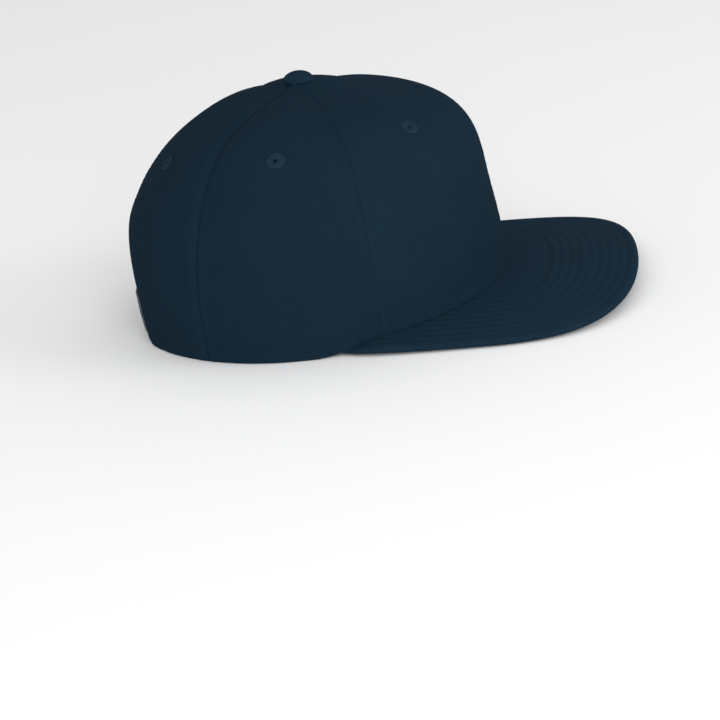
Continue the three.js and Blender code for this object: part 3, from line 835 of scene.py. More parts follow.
def twill_cloth(name, colour, line_angle, line_pitch, contrast=0.34, depth=0.2 * MM):
    """Twill: raised lines across the cloth broken by their yarns, fibre flecks and soft worn patches.

    The weave is a sine across the lines plus a weaker and closer sine along them, both shifted by
    noise. The tone is a half plus weave, flecks, patches and the cloth's relief, each by its weight.
    The weave's share of the tone is the twill's line pattern together with painted shade in the
    grooves between the lines. The relief's share is a painted highlight on raised seam allowances,
    folds and visor channels, with painted shade in the grooves under the stitch rows.
    """
    bench = NodeBench(name)
    uv = bench.node("ShaderNodeUVMap", uv_map="cloth").outputs["UV"]
    turns = 2 * math.pi * CLOTH_UNIT / line_pitch
    yarn_turns = turns * 1.35
    across = (math.cos(line_angle) * turns, math.sin(line_angle) * turns, 0)
    along = (-math.sin(line_angle) * yarn_turns, math.cos(line_angle) * yarn_turns, 0)
    wander = bench.maths("MULTIPLY", bench.noise(uv, 55.0), 3.5)
    lines = bench.maths("SINE", bench.maths("ADD", bench.dot(uv, across), wander))
    yarns = bench.maths("SINE", bench.maths("ADD", bench.dot(uv, along), wander))
    weave = bench.total(bench.maths("MULTIPLY", lines, 0.7), (yarns, 0.3))
    fibre = bench.maths("SUBTRACT", bench.noise(uv, 240.0, 3.0), 0.5)
    patch = bench.maths("SUBTRACT", bench.noise(uv, 5.5, 4.0), 0.5)
    relief = bench.node("ShaderNodeAttribute", attribute_name="relief").outputs["Fac"]
    # Painted light: the weave darkens the grooves between the twill's lines, and the relief lightens
    # raised folds and darkens the stitch grooves.
    tone = bench.total(0.5, (weave, contrast), (fibre, 0.9), (patch, 0.16), (relief, 170.0))
    tone = bench.node("ShaderNodeClamp", {"Value": tone}).outputs[0]
    bench.settle(
        Base_Color=bench.blend(tone, shade(colour, 0.62), shade(colour, 1.42)),
        Normal=bench.bump(bench.total(weave, (fibre, 1.4)), 0.55, depth),
        Roughness=0.92, Specular_IOR_Level=0.01,
        Sheen_Weight=0.002, Sheen_Roughness=0.45, Sheen_Tint=(0.62, 0.78, 0.95, 1.0),
    )
    return bench.material


def twisted_thread(name, colour, plies, roughness=0.6):
    """Thread: lines that wind round its length, with a painted highlight where they stand proud and
    painted shade between them.
    """
    bench = NodeBench(name)
    uv = bench.node("ShaderNodeUVMap", uv_map="cloth").outputs["UV"]
    strands = bench.maths("SINE", bench.dot(uv, (2 * math.pi * plies, 2 * math.pi, 0)))
    # Painted light: the tone follows the plies' bump, lighter on their crests and darker between them.
    tone = bench.total(0.5, (strands, 0.35))
    bench.settle(
        Base_Color=bench.blend(tone, shade(colour, 0.7), shade(colour, 1.35)),
        Normal=bench.bump(strands, 0.5, 0.05 * MM),
        Roughness=roughness, Specular_IOR_Level=0.03, Sheen_Weight=0.002, Sheen_Roughness=0.35,
    )
    return bench.material


def satin_plastic(name, colour):
    """Moulded plastic: a fine pebbled grain and faint flow marks in the gloss."""
    bench = NodeBench(name)
    where = bench.node("ShaderNodeTexCoord").outputs["Object"]
    grain = bench.noise(where, 2600.0, 2.0, flat=False)
    flow = bench.noise(where, 90.0, 3.0, flat=False)
    bench.settle(
        Base_Color=bench.blend(flow, shade(colour, 0.85), shade(colour, 1.2)),
        Normal=bench.bump(grain, 0.3, 0.05 * MM),
        Roughness=bench.total(0.44, (flow, 0.16)), Specular_IOR_Level=0.25,
    )
    return bench.material


def panel_cloth_uv(name, side, angle, climb, points):
    """Cloth coordinates across and up a panel.

    The first is the share from the panel's middle times the half rim, drawn in with the distance from
    the button. The second is the length up the panel's middle line at the same climb.
    """
    start, end = PANEL_SHARES[name]
    middle = rim_angle_at((start + end) / 2)
    climbs = np.linspace(0, np.pi / 2 * 0.999, 400)
    lengths = along_line(crown_surface(middle, climbs))
    share = np.abs(rim_share_at(angle)) - (start + end) / 2
    across = side * share * HALF_RIM * button_distance(points) / rim_reach_at(angle)
    return np.stack([across, np.interp(climb, climbs, lengths)], -1) / CLOTH_UNIT


def eyelet_seat(name, side):
    """The angle and the climb at which a panel's eyelet sits."""
    start, end = PANEL_SHARES[name]
    across, height = EYELET_PLACES[name]
    angle = rim_angle_at(side * mix(start, end, across))
    climb = climb_at_height(angle, height)
    return angle, climb


def cut_eyelet(outer, inner, quads, middle, direction, radius):
    """Takes out the faces round an eyelet's middle and draws the hole's edge on to a circle."""
    wider = 1.12

    def flat(points):
        away = points - middle
        return away - (away @ direction)[:, None] * direction

    near = np.linalg.norm(flat(outer), axis=1) < radius
    near &= np.abs((outer - middle) @ direction) < 6 * MM
    kept = quads[~near[quads].any(axis=1)]
    before = np.unique(open_edges(quads))
    rim = np.setdiff1d(np.unique(open_edges(kept)), before)
    for points in (outer, inner):
        away = flat(points[rim])
        points[rim] += unit(away) * radius * wider - away
    return kept


def build_panel(name, side, sizes, material):
    """One panel: outer and inner faces over one grid, closed along its edges, with an eyelet hole."""
    hole_radius = 1.9 * MM
    handed = "left" if side > 0 else "right"
    angle, climb = panel_grid(name, side)
    outer, _, relief = crown_face(angle, climb, 0, sizes)
    inner, _, _ = crown_face(angle, climb, sizes.wall, sizes)
    uv = panel_cloth_uv(name, side, angle, climb, outer).reshape(-1, 2)
    quads = grid_quads(*angle.shape)
    seat_angle, seat_climb = eyelet_seat(name, side)
    middle, direction, _ = crown_face(np.array([seat_angle]), np.array([seat_climb]), 0, sizes)
    outer, inner = outer.reshape(-1, 3), inner.reshape(-1, 3)
    quads = cut_eyelet(outer, inner, quads, middle[0], direction[0], hole_radius)
    points, faces = close_shell(outer, inner, quads)
    relief = relief.ravel()
    node = f"panel_{name}_{handed}"
    # The outer face's relief paints highlight and shade into its colour; the inner face gets none.
    piece = make_piece(
        f"cloth_{node}", points, faces, material, np.concatenate([uv, uv]),
        np.concatenate([relief, relief * 0]),
    )
    return fit_in(piece, "crown_cloth", node)


def stitch_rows(rows, pitch, radius, lift, fill):
    """Stitches along lines of points: each is a short thread that arches out of the cloth and back.

    A stitch's middle line is a parabola over the chord between its ends, and its five sections are
    rings of six points whose radius narrows at the ends.
    """
    rings, corners = 5, 6
    starts, ends, normals = [], [], []
    for line, normal in rows:
        lengths = along_line(line)
        count = max(int(lengths[-1] / pitch), 1)
        at = (np.arange(count) + (1 - fill) / 2) * lengths[-1] / count
        until = at + fill * lengths[-1] / count
        middle = (at + until) / 2
        starts.append(np.stack([np.interp(at, lengths, line[:, k]) for k in range(3)], -1))
        ends.append(np.stack([np.interp(until, lengths, line[:, k]) for k in range(3)], -1))
        normals.append(unit(np.stack([np.interp(middle, lengths, normal[:, k]) for k in range(3)], -1)))
    start, end, normal = (np.concatenate(group) for group in (starts, ends, normals))
    run = unit(end - start)
    aside = unit(np.cross(run, normal))
    share = np.array([0.0, 0.14, 0.5, 0.86, 1.0])
    arch = 4 * share * (1 - share) * (lift + radius) - radius * 0.9
    thick = radius * np.array([0.45, 0.9, 1.0, 0.9, 0.45])
    middle = mix(start[:, None], end[:, None], share[:, None]) + normal[:, None] * arch[:, None]
    turn = np.arange(corners) * np.pi / 3
    ring = aside[:, None, None] * np.cos(turn)[:, None] + normal[:, None, None] * np.sin(turn)[:, None]
    points = middle[:, :, None] + ring * thick[:, None, None]
    tube = grid_quads(rings, corners, closed=True)
    near_cap = np.array([[3, 2, 1, 0], [5, 4, 3, 0]])
    far_cap = np.array([[0, 1, 2, 3], [0, 3, 4, 5]]) + (rings - 1) * corners
    one = np.concatenate([tube, near_cap, far_cap])
    quads = (one[None] + rings * corners * np.arange(len(start))[:, None, None]).reshape(-1, 4)
    uv = np.stack(np.broadcast_arrays(share[:, None], turn / (2 * np.pi)), -1)
    uv = np.broadcast_to(uv, (len(start), rings, corners, 2))
    return points.reshape(-1, 3), quads, uv.reshape(-1, 2)


def seam_row(seam, into, sizes):
    """A stitch row beside a seam: the seam's bearing turned by the arcsine of distance over radius."""
    bearing = SEAM_BEARINGS[seam]
    angle = rim_angle_towards(bearing)
    low = climb_at_height(angle, lower_edge(angle) + sizes.rim_row + 1.5 * MM)
    if seam == CENTRE_BACK:
        low = climb_at_height(angle, ARCH_HEIGHT + 7 * MM)
    climbs = np.linspace(low, climb_at_radius(angle, BUTTON_RADIUS + 0.5 * MM), SEAM_POINTS)
    radius = button_distance(crown_surface(angle, climbs))
    turned = bearing + into * np.arcsin(np.minimum(sizes.seam_row / radius, 0.5))
    line, normal, _ = crown_face(rim_angle_towards(turned), climbs, 0, sizes)
    return line, normal


def rim_row(start, end, height, sizes):
    """A stitch row at a height above the crown's lower edge, between two shares of the rim."""
    angle = rim_angle_at(np.linspace(start, end, RIM_POINTS))
    line, normal, _ = crown_face(angle, climb_at_height(angle, lower_edge(angle) + height), 0, sizes)
    return line, normal


def arch_row(distance, side, sizes):
    """A stitch row round the opening: its edge moved outwards and laid on the crown."""
    flat = arch_outline(distance)
    angle = crown_back_at(flat[:, 0], flat[:, 1])
    line, normal, _ = crown_face(side * angle, climb_at_height(angle, flat[:, 1]), 0, sizes)
    return line, normal


def visor_half_outline(count):
    """Aside and forward measures from the corner to the tip, on two cubic curves, evenly spaced."""
    corner = np.array([CORNER_ASIDE, CORNER_FORWARD])
    widest = np.array([VISOR_HALF_WIDTH, VISOR_WIDEST_FORWARD])
    tip = np.array([0.0, VISOR_REACH])
    run = widest[1] - corner[1]
    leave = unit(np.array([0.35, 1.0]))
    first = [corner, corner + leave * run * 0.2, widest - np.array([0, run * 0.9]), widest]
    round_side = np.array([widest[0], mix(widest[1], tip[1], 0.49)])
    round_front = np.array([widest[0] * 0.95, tip[1]])
    second = [widest, round_side, round_front, tip]
    t = np.linspace(0, 1, 400)[:, None]
    weights = [(1 - t) ** 3, 3 * t * (1 - t) ** 2, 3 * t * t * (1 - t), t**3]
    curves = [sum(weight * point for weight, point in zip(weights, four)) for four in (first, second)]
    line = np.concatenate([curves[0], curves[1][1:]])
    lengths = along_line(line)
    at = np.linspace(0, lengths[-1], count)
    return np.stack([np.interp(at, lengths, line[:, k]) for k in range(2)], -1)


def visor_outline(count):
    """The whole outline, from the right corner round the tip to the left corner."""
    half = visor_half_outline(count)
    return np.concatenate([half * [-1, 1], half[-2::-1]])


def visor_relief(away, run, sizes):
    """The cloth's swell between the stitch rows, with small puckers along them.

    It is the absolute sine of the distance from the edge in row spacings, raised to a power under one.
    Outside the first row the edge rounds off, and inside the last one the cloth stays up.
    """
    first, spacing = sizes.visor_first_row, sizes.visor_row_spacing
    number = (away - first) / spacing
    channel = np.abs(np.sin(np.pi * number)) ** 0.6
    inside = (number > 0) & (number < sizes.visor_rows - 1)
    outer_roll = smooth(away, 0, first) * np.sqrt(np.clip(1 - away / first, 0, 1)) * 1.5
    beyond = smooth(number - (sizes.visor_rows - 1), 0, 0.8)
    height = np.where(inside, channel, np.where(number <= 0, outer_roll, beyond))
    pucker = 0.5 + 0.5 * np.sin(2 * np.pi * run / (6.1 * MM) + 2.3 * np.floor(number))
    return VISOR_RELIEF * height * (0.86 + 0.14 * pucker)


def visor_face(forward, aside, lower, sizes, outline):
    """Points of the visor's upper or lower face over the plan, with its relief and its fall at the edge.

    The two faces fall towards each other at the free edge along a quarter circle, and fall and relief
    fade at the corners, where the visor is thin.
    """
    row_radius = 0.12
    flat = np.stack([aside, forward], -1).reshape(-1, 2)
    away = np.concatenate([distance_to_line(part, outline) for part in np.array_split(flat, 24)])
    away = away.reshape(forward.shape)
    depth = visor_depth(forward, aside)
    run = np.arctan2(aside, forward) * row_radius
    fade = 1 - corner_nearness(forward, aside)
    relief = visor_relief(away, run, sizes) * fade
    slow = 0.25 * MM * np.sin(38 * aside + 21 * forward) * smooth(away, 0, 12 * MM)
    fall = np.minimum(rolled(away, depth / 2), depth / 2 - 0.02 * MM) * mix(0.1, 1, fade)
    top = visor_top(forward, aside) + slow
    up = top - depth + fall - relief * 0.7 if lower else top + relief - fall
    return place(forward, aside, up), relief, fall


def visor_plan():
    """Forward and aside measures of the visor's points: lines from the root to the free edge."""
    corner_share = rim_share_at(VISOR_CORNER_ANGLE)
    shares = np.linspace(-corner_share, corner_share, 2 * VISOR_COLUMNS - 1)
    root_forward, root_aside = rim_inside(rim_angle_at(shares), CLOTH_ROOM)
    edge = visor_outline(VISOR_COLUMNS)
    root = np.stack([root_aside, root_forward], -1)
    length = np.linalg.norm(edge - root, axis=1)
    across = crowded(length, PLAIN_STEPS, VISOR_DEPTH_POINTS, VISOR_STEPS)
    flat = mix(root[:, None], edge[:, None], across[..., None])
    return flat[..., 1], flat[..., 0]


def visor_normal(forward, aside):
    """The upward direction of the visor's top, from its slopes forward and aside."""
    step = 0.5 * MM
    rise_f = visor_top(forward + step, aside) - visor_top(forward - step, aside)
    rise_a = visor_top(forward, aside + step) - visor_top(forward, aside - step)
    slope_f, slope_a = rise_f / (2 * step), rise_a / (2 * step)
    return unit(np.stack([-slope_a, slope_f, np.ones_like(slope_f)], -1))


def visor_stitch_lines(lower, sizes):
    """The visor's stitch rows: its outline moved inwards, where that leaves the crown's cloth clear."""
    outline = visor_outline(500)
    slope = unit(np.gradient(outline, axis=0))
    inward = np.stack([slope[:, 1], -slope[:, 0]], -1)
    lines = []
    for number in range(sizes.visor_rows):
        distance = sizes.visor_first_row + number * sizes.visor_row_spacing
        flat = outline + inward * distance
        aside, forward = flat.T
        rim = rim_point(np.arctan2(aside / RIM_HALF_WIDTH, forward / RIM_FRONT_REACH))
        keep = np.hypot(forward, aside) > np.hypot(*rim) + 1.2 * MM
        keep &= distance_to_line(flat, outline) > distance - 0.2 * MM
        keep &= forward > 25 * MM
        if keep.sum() < 8:
            continue
        forward, aside = forward[keep], aside[keep]
        line, _, _ = visor_face(forward, aside, lower, sizes, outline)
        normal = visor_normal(forward, aside)
        lines.append((line, -normal if lower else normal))
    return lines


def swept_ring(profile, sides):
    """Points of a half section carried round its axis: radius, height and turn."""
    turn = np.arange(sides) * 2 * np.pi / sides
    return np.broadcast_arrays(profile[:, :1], profile[:, 1:], turn)


def eyelet_profile(sizes):
    """An eyelet's closed section: a flat bead outside, the hole's wall, a smaller bead inside."""
    t = np.linspace(0, np.pi, 13)
    half = (EYELET_RADIUS - EYELET_HOLE_RADIUS) / 2
    low = -sizes.wall - 0.1 * MM
    bead = np.sin(t) ** 0.8 * MM
    ring = [EYELET_HOLE_RADIUS + half * (1 + np.cos(t)), 0.02 * MM + 0.5 * bead]
    hole = [np.full(4, EYELET_HOLE_RADIUS), np.linspace(-0.3, -sizes.wall / MM - 0.1, 4) * MM]
    under = [EYELET_HOLE_RADIUS + 0.8 * half * (1 - np.cos(t)), low - 0.4 * bead]
    back = [[under[0][-1], EYELET_HOLE_RADIUS + 1.6 * half], [low + 0.35 * MM, -0.3 * MM]]
    under = [measure[1:] for measure in under]
    return np.concatenate([np.stack(part, -1) for part in (ring, hole, under, back)])


def build_eyelet(name, side, sizes, material):
    """An embroidered eyelet: a flat ring of radial threads outside, a barrel and a smaller ring inside.

    Threads are sines of the turn. Each point is laid on the crown by the slopes of the surface at the
    eyelet's middle.
    """
    handed = "left" if side > 0 else "right"
    angle, climb = eyelet_seat(name, side)
    profile = eyelet_profile(sizes)
    sides, threads = 168, 42
    radius, height, turn = swept_ring(profile, sides)
    share = (radius - EYELET_HOLE_RADIUS) / (EYELET_RADIUS - EYELET_HOLE_RADIUS)
    stand = np.sin(threads * turn + 5 * np.sin(3 * turn)) * smooth(np.minimum(share, 1 - share), 0, 0.25)
    height = height + np.where(height > 0, 1, -1) * stand * 0.085 * MM
    radius = radius + np.where(share > 0.85, 0.1 * MM * np.sin(threads / 2 * turn + 1), 0)
    step = 1e-3
    east = (crown_surface(angle + step, climb) - crown_surface(angle - step, climb)) / (2 * step)
    north = (crown_surface(angle, climb + step) - crown_surface(angle, climb - step)) / (2 * step)
    across = unit(east)
    above = np.cross(crown_normal(angle, climb), across)
    slopes = np.array([[east @ across, north @ across], [east @ above, north @ above]])
    flat = np.stack([radius * np.cos(turn), radius * np.sin(turn)], -1)
    move = flat @ np.linalg.inv(slopes).T
    base, normal, _ = crown_face(angle + move[..., 0], climb + move[..., 1], 0, sizes, edges=False)
    points = base + normal * height[..., None]
    quads = grid_quads(len(profile) + 1, sides, closed=True) % (len(profile) * sides)
    uv = np.stack([share * 3 + turn * 2, turn * threads / (2 * np.pi)], -1)
    node = f"eyelet_{name}_{handed}"
    piece = make_piece(f"thread_{node}", points.reshape(-1, 3), quads, material, uv.reshape(-1, 2))
    return fit_in(piece, "eyelet_thread", node)


def turned_piece(profile, sides, shift=None):
    """A closed body from a half section that starts and ends on the axis, with its cloth coordinates."""
    radius, height, turn = swept_ring(profile, sides)
    if shift is not None:
        radius, height = shift(radius, height, turn)
    points = np.stack([radius * np.cos(turn), radius * np.sin(turn), height], -1).reshape(-1, 3)
    lengths = along_line(profile)[:, None] + 0 * turn
    uv = np.stack([turn * BUTTON_RADIUS * 0.8, lengths], -1).reshape(-1, 2) / CLOTH_UNIT
    quads = grid_quads(len(profile), sides, closed=True)
    ends = []
    for ring in (0, len(profile) - 1):
        first = ring * sides
        index = first + np.arange(sides // 2)
        mirror = first + sides - 1 - np.arange(sides // 2)
        strip = np.stack([index[:-1], index[1:], mirror[1:], mirror[:-1]], -1)
        ends.append(strip if ring == 0 else strip[:, ::-1])
    quads = np.concatenate([quads, ends[0][:, ::-1], ends[1][:, ::-1]])
    return points, quads, uv


def build_button(material):
    """The button: a domed stud gathered under its edge, with the shank and plate behind the cloth.

    The dome's radius is the cosine and its height nearly the sine of a turn. The gathers are sines
    round the button, under a bell curve at its edge.
    """
    def under(radius):
        return PEAK_HEIGHT * bell(radius, PEAK_RADIUS) + 0.15 * MM

    inside = PEAK_HEIGHT - CLOTH_ROOM - 2 * SEAT_GAP
    rim = under(BUTTON_RADIUS) - 0.25 * MM
    turn = np.linspace(0, np.pi / 2, 26)
    dome_height = 1.02 * BUTTON_HEIGHT
    dome = np.stack([BUTTON_RADIUS * np.cos(turn), rim + dome_height * np.sin(turn) ** 0.94], -1)
    dome[-1, 0] = 0.02 * MM
    reach = BUTTON_RADIUS * np.array([0.3, 0.6, 0.8, 0.9, 0.955, 0.985])
    tuck = np.stack([reach, under(reach) + np.array([0, -0.1, -0.2, -0.3, -0.35, -0.35]) * MM], -1)
    plate = np.array([
        [0.02 * MM, inside - 1.0 * MM], [4.1 * MM, inside - 1.0 * MM], [4.4 * MM, inside - 0.9 * MM],
        [4.5 * MM, inside - 0.7 * MM], [4.4 * MM, inside - 0.45 * MM], [4.1 * MM, inside - SEAT_GAP],
        [1.5 * MM, inside - SEAT_GAP], [1.5 * MM, under(0)],
    ])
    profile = np.concatenate([plate, tuck, dome])

    def gather(radius, height, turn):
        share = np.clip(radius / BUTTON_RADIUS, 0, 1)
        edge = bell(share - 1, 0.22) * (height > under(BUTTON_RADIUS))
        folds = np.sin(18 * turn + 0.8 * np.sin(5 * turn)) + 0.5 * np.sin(31 * turn + 1)
        return radius * (1 - 0.006 * folds * edge), height + 0.05 * MM * folds * edge * (share < 0.999)

    points, quads, uv = turned_piece(profile, 120, gather)
    base = place(BUTTON_FORWARD, 0.0, CROWN_HEIGHT)
    dome_uv = points[:, :2] / CLOTH_UNIT
    above = points[:, 2] > under(BUTTON_RADIUS)
    uv = np.where(above[:, None], dome_uv, uv)
    piece = make_piece("cloth_button", points + base, quads, material, uv, np.zeros(len(points)))
    return fit_in(piece, "button_cloth", "button")


def build_visor(sizes, material):
    """The visor: upper and lower faces over one plan, rolled together at the edge.

    The cloth coordinates are the plan's, carried on round the edge by as much as the faces fall.
    """
    forward, aside = visor_plan()
    outline = visor_outline(260)
    top, relief, fall = visor_face(forward, aside, False, sizes, outline)
    bottom, _, _ = visor_face(forward, aside, True, sizes, outline)
    quads = grid_quads(*forward.shape)
    points, faces = close_shell(top.reshape(-1, 3), bottom.reshape(-1, 3), quads)
    flat = np.stack([aside, forward], -1)
    around = unit(flat[:, -1:] - flat[:, :1]) * fall[..., None]
    uv = (flat + around).reshape(-1, 2) / CLOTH_UNIT
    # The channels' relief paints a highlight on the puffed channels and shade along the stitch rows, on
    # both faces.
    uv, relief = np.tile(uv, (2, 1)), np.tile(relief.ravel(), 2)
    piece = make_piece("cloth_visor", points, faces, material, uv, relief)
    return fit_in(piece, "visor_cloth", "visor")


def opening_angle(past=0.0):
    """The angle at the back at which the opening's rounded foot ends, or a length past it."""
    reach = ARCH_HALF_WIDTH + ARCH_CORNER_RADIUS + past
    return np.pi - math.asin(reach / RIM_HALF_WIDTH)


def band_place(angle):
    """The height of the sweatband's lower edge and the band's depth behind the crown's face.

    In front it starts under the visor and behind just above the table, with a soft step past the
    visor's corner. It lies deeper where the strap's sewn end lies behind it.
    """
    away = np.abs(angle)
    forward, aside = rim_inside(np.minimum(away, VISOR_CORNER_ANGLE), CLOTH_ROOM)
    under_visor = np.maximum(visor_top(forward, aside) - visor_depth(forward, aside), BAND_RISE)
    past = smooth(away, VISOR_CORNER_ANGLE, VISOR_CORNER_ANGLE + BAND_DROP_LENGTH / RIM_HALF_WIDTH)
    room = STRAP_THICKNESS + SEAT_GAP
    start = ARCH_HALF_WIDTH + STRAP_SEWN_LENGTH + CLOTH_ROOM + room
    outwards = np.abs(rim_point(angle)[1])
    behind = room * (1 - smooth(outwards, start, start + BAND_STEP_LENGTH))
    depth = CLOTH_ROOM + SEAT_GAP + np.where(away > np.pi / 2, behind, 0)
    return mix(under_visor, BAND_RISE, past), depth


def build_sweatband(material):
    """The sweatband: a strip inside the rim, rolled at its edges, sewn at both and softly waved."""
    end_share = rim_share_at(opening_angle())
    shares = (crowded(2 * HALF_RIM * end_share, EDGE_STEPS[:8], 320)[0] * 2 - 1) * end_share
    heights = crowded(BAND_HEIGHT, BAND_STEPS, 22)[0]
    angle, rise = np.broadcast_arrays(rim_angle_at(shares)[None], heights[:, None])
    foot, depth = band_place(angle)
    length = rim_length(angle) * np.sign(angle)
    low = rise * BAND_HEIGHT
    up = foot + low
    waves = 0.12 * MM * np.sin(2 * np.pi * length / (19 * MM) + 9 * rise) * np.sin(np.pi * rise)
    edge = np.minimum(low, BAND_HEIGHT - low)
    groove_width = 0.7 * MM
    rows = bell(low - BAND_ROW, groove_width) + bell(BAND_HEIGHT - low - BAND_ROW, groove_width)
    face = waves - 0.25 * MM * rows
    ends = (end_share - np.abs(shares)[None]) * HALF_RIM + 0 * rise
    fall = rolled(np.minimum(edge, ends), BAND_THICKNESS / 2 * 0.97)
    outer = crown_inside(angle, up, depth + fall)
    stand = 0.25 * MM
    inner = crown_inside(angle, up, depth + BAND_THICKNESS - fall + stand + face)
    uv = np.tile(np.stack([length, low], -1).reshape(-1, 2) / CLOTH_UNIT, (2, 1))
    points, faces = close_shell(outer.reshape(-1, 3), inner.reshape(-1, 3), grid_quads(*angle.shape))
    piece = make_piece("cloth_sweatband", points, faces, material, uv, np.zeros(len(points)))
    return fit_in(piece, "band_cloth", "sweatband")


def band_rows():
    """The sweatband's two stitch rows, seen from inside the cap."""
    angle = rim_angle_at(np.linspace(-0.995, 0.995, RIM_POINTS) * rim_share_at(opening_angle()))
    foot, depth = band_place(angle)
    lines = []
    for height in (BAND_ROW, BAND_HEIGHT - BAND_ROW):
        up = foot + height
        line = crown_inside(angle, up, depth + BAND_THICKNESS)
        lines.append((line, -level_normal(angle, climb_at_height(angle, up))))
    return lines


def inside_back(aside, up):
    """How far behind the middle the inside of the back panels lies at an aside measure and a height."""
    depth = np.full(np.shape(aside), CLOTH_ROOM + SEAT_GAP)

    def aside_of(angle):
        return crown_inside(angle, up, depth)[..., 0]

    low, _ = halve_back(aside_of, aside, 28)
    return crown_inside(low, up, depth)[..., 1] - MIDDLE_Y


def strap_face(aside, up):
    """The strap's outer face: inside the panels where it is sewn, and a cubic bow across the opening."""
    aside, up = np.broadcast_arrays(np.abs(aside), up)
    step = 1 * MM
    sewn = inside_back(np.maximum(aside, ARCH_HALF_WIDTH), up)
    start = inside_back(np.full(aside.shape, ARCH_HALF_WIDTH), up)
    farther = inside_back(np.full(aside.shape, ARCH_HALF_WIDTH + step), up)
    slope = (start - farther) / step * ARCH_HALF_WIDTH
    t = np.clip(1 - aside / ARCH_HALF_WIDTH, 0, 1)
    bowed = start + slope * (t**3 - 2 * t**2 + t) + STRAP_BOW * (3 * t**2 - 2 * t**3)
    return np.where(aside >= ARCH_HALF_WIDTH, sewn, bowed)


def strap_point(aside, up, depth, side):
    """A point of a strap half at a depth under its outer face. The half with holes lies outside."""
    step = 0.5 * MM
    slope = (strap_face(aside + step, up) - strap_face(aside - step, up)) / (2 * step)
    out = unit(np.stack([-slope, np.ones_like(slope), 0 * slope], -1))
    lift = 0.0
    if side < 0:
        layer = STRAP_THICKNESS + SEAT_GAP
        lift = layer * (1 - smooth(-aside, STRAP_TIP_PAST + STRAP_THICKNESS, ARCH_HALF_WIDTH))
    point = np.stack([aside, MIDDLE_Y + strap_face(aside, up), up + 0 * aside], -1)
    return point + out * np.asarray(lift - depth)[..., None], out


def snap_patch(hole, half):
    """Points and faces from a ring round a snap out to the rectangle that it has to itself."""
    turn = np.arange(SNAP_SIDES) * 2 * np.pi / SNAP_SIDES
    steps = np.array([0, 0.03, 0.1, 0.22, 0.4, 0.65, 1.0])
    ring = np.stack([np.cos(turn), np.sin(turn)], -1)
    square = ring / np.abs(ring).max(axis=1, keepdims=True) * [SNAP_SPACING / 2, half]
    points = mix(ring[None] * hole, square[None], steps[:, None, None]).reshape(-1, 2)
    return points, grid_quads(len(steps), SNAP_SIDES, closed=True), square


def strap_plan(side):
    """A strap half laid flat: a square patch round each snap, a rounded tip and a plain sewn end.

    The parts are merged where their points meet. The tip's half width falls back by a quarter circle
    at its corners.
    """
    half = STRAP_WIDTH / 2
    hole = PEG_RADIUS + PEG_CLEARANCE
    snaps = side * SNAP_SPACING * (np.arange(SNAP_COUNT) - (SNAPS_CLOSED - 1) / 2)
    patch, patch_quads, square = snap_patch(hole, half)
    flat = [patch + [snap, 0] for snap in snaps]
    quads = [patch_quads + len(patch) * i for i in range(SNAP_COUNT)]
    count = len(patch) * SNAP_COUNT
    on_side = np.abs(square[:, 0]) > SNAP_SPACING / 2 - 1e-9
    side_steps = np.unique(square[on_side][:, 1].round(9))
    tip_start, tail_start = np.abs(snaps[[0, -1]]) + SNAP_SPACING / 2
    tip = STRAP_TIP_PAST - np.linspace(0, 1, 14) ** 1.6 * (STRAP_TIP_PAST - tip_start)
    tail = np.linspace(tail_start, ARCH_HALF_WIDTH + STRAP_SEWN_LENGTH, 26)
    for line in (-side * tip, side * tail):
        grid = np.stack(np.broadcast_arrays(line[:, None], side_steps[None]), -1)
        flat.append(grid.reshape(-1, 2))
        quads.append(grid_quads(*grid.shape[:2]) + count)
        count += grid.shape[0] * grid.shape[1]
    flat, quads = np.concatenate(flat), np.concatenate(quads)
    cells = (flat / (0.01 * MM)).round().astype(int)
    _, first, merged = np.unique(cells, axis=0, return_index=True, return_inverse=True)
    flat, quads = flat[first], merged.reshape(-1)[quads]
    within = np.maximum(STRAP_CORNER_RADIUS - STRAP_TIP_PAST - side * flat[:, 0], 0)
    narrow = STRAP_CORNER_RADIUS - np.sqrt(np.maximum(STRAP_CORNER_RADIUS**2 - within**2, 0))
    flat[:, 1] *= 1 - narrow / half * smooth(np.abs(flat[:, 1]), hole, half)
    corner = flat[quads]
    following = np.roll(corner, -1, axis=1)
    area = (corner[..., 0] * following[..., 1] - following[..., 0] * corner[..., 1]).sum(axis=1)
    quads[area < 0] = quads[area < 0][:, ::-1]
    return flat, quads, snaps


def build_pegs(snaps, side):
    """The pegs: turned bodies with wide heads, stood on the strap along its outward direction."""
    head = (2 * SEAT_GAP + STRAP_THICKNESS) / MM
    shaft = PEG_RADIUS / MM
    profile = MM * np.array([
        [0.01, -1.1], [1.62, -1.1], [1.72, -1.0], [1.72, -0.5], [shaft, 0.05], [shaft, head - 0.1],
        [2.3, head], [2.6, head + 0.15], [2.62, head + 0.4], [2.4, head + 0.65],
        [1.9, head + 0.85], [1.2, head + 0.97], [0.5, head + 1.0], [0.01, head + 1.0],
    ])
    for snap in snaps:
        middle = np.array([STRAP_RISE + STRAP_WIDTH / 2])
        seat, out = strap_point(np.array([snap]), middle, 0.0, side)
        peg, quads, _ = turned_piece(profile, 28)
        across = np.array([out[0, 1], -out[0, 0], 0])
        peg = peg @ np.stack([across, np.cross(out[0], across), out[0]]) + seat[0]
        yield peg, face_outwards(peg, quads)


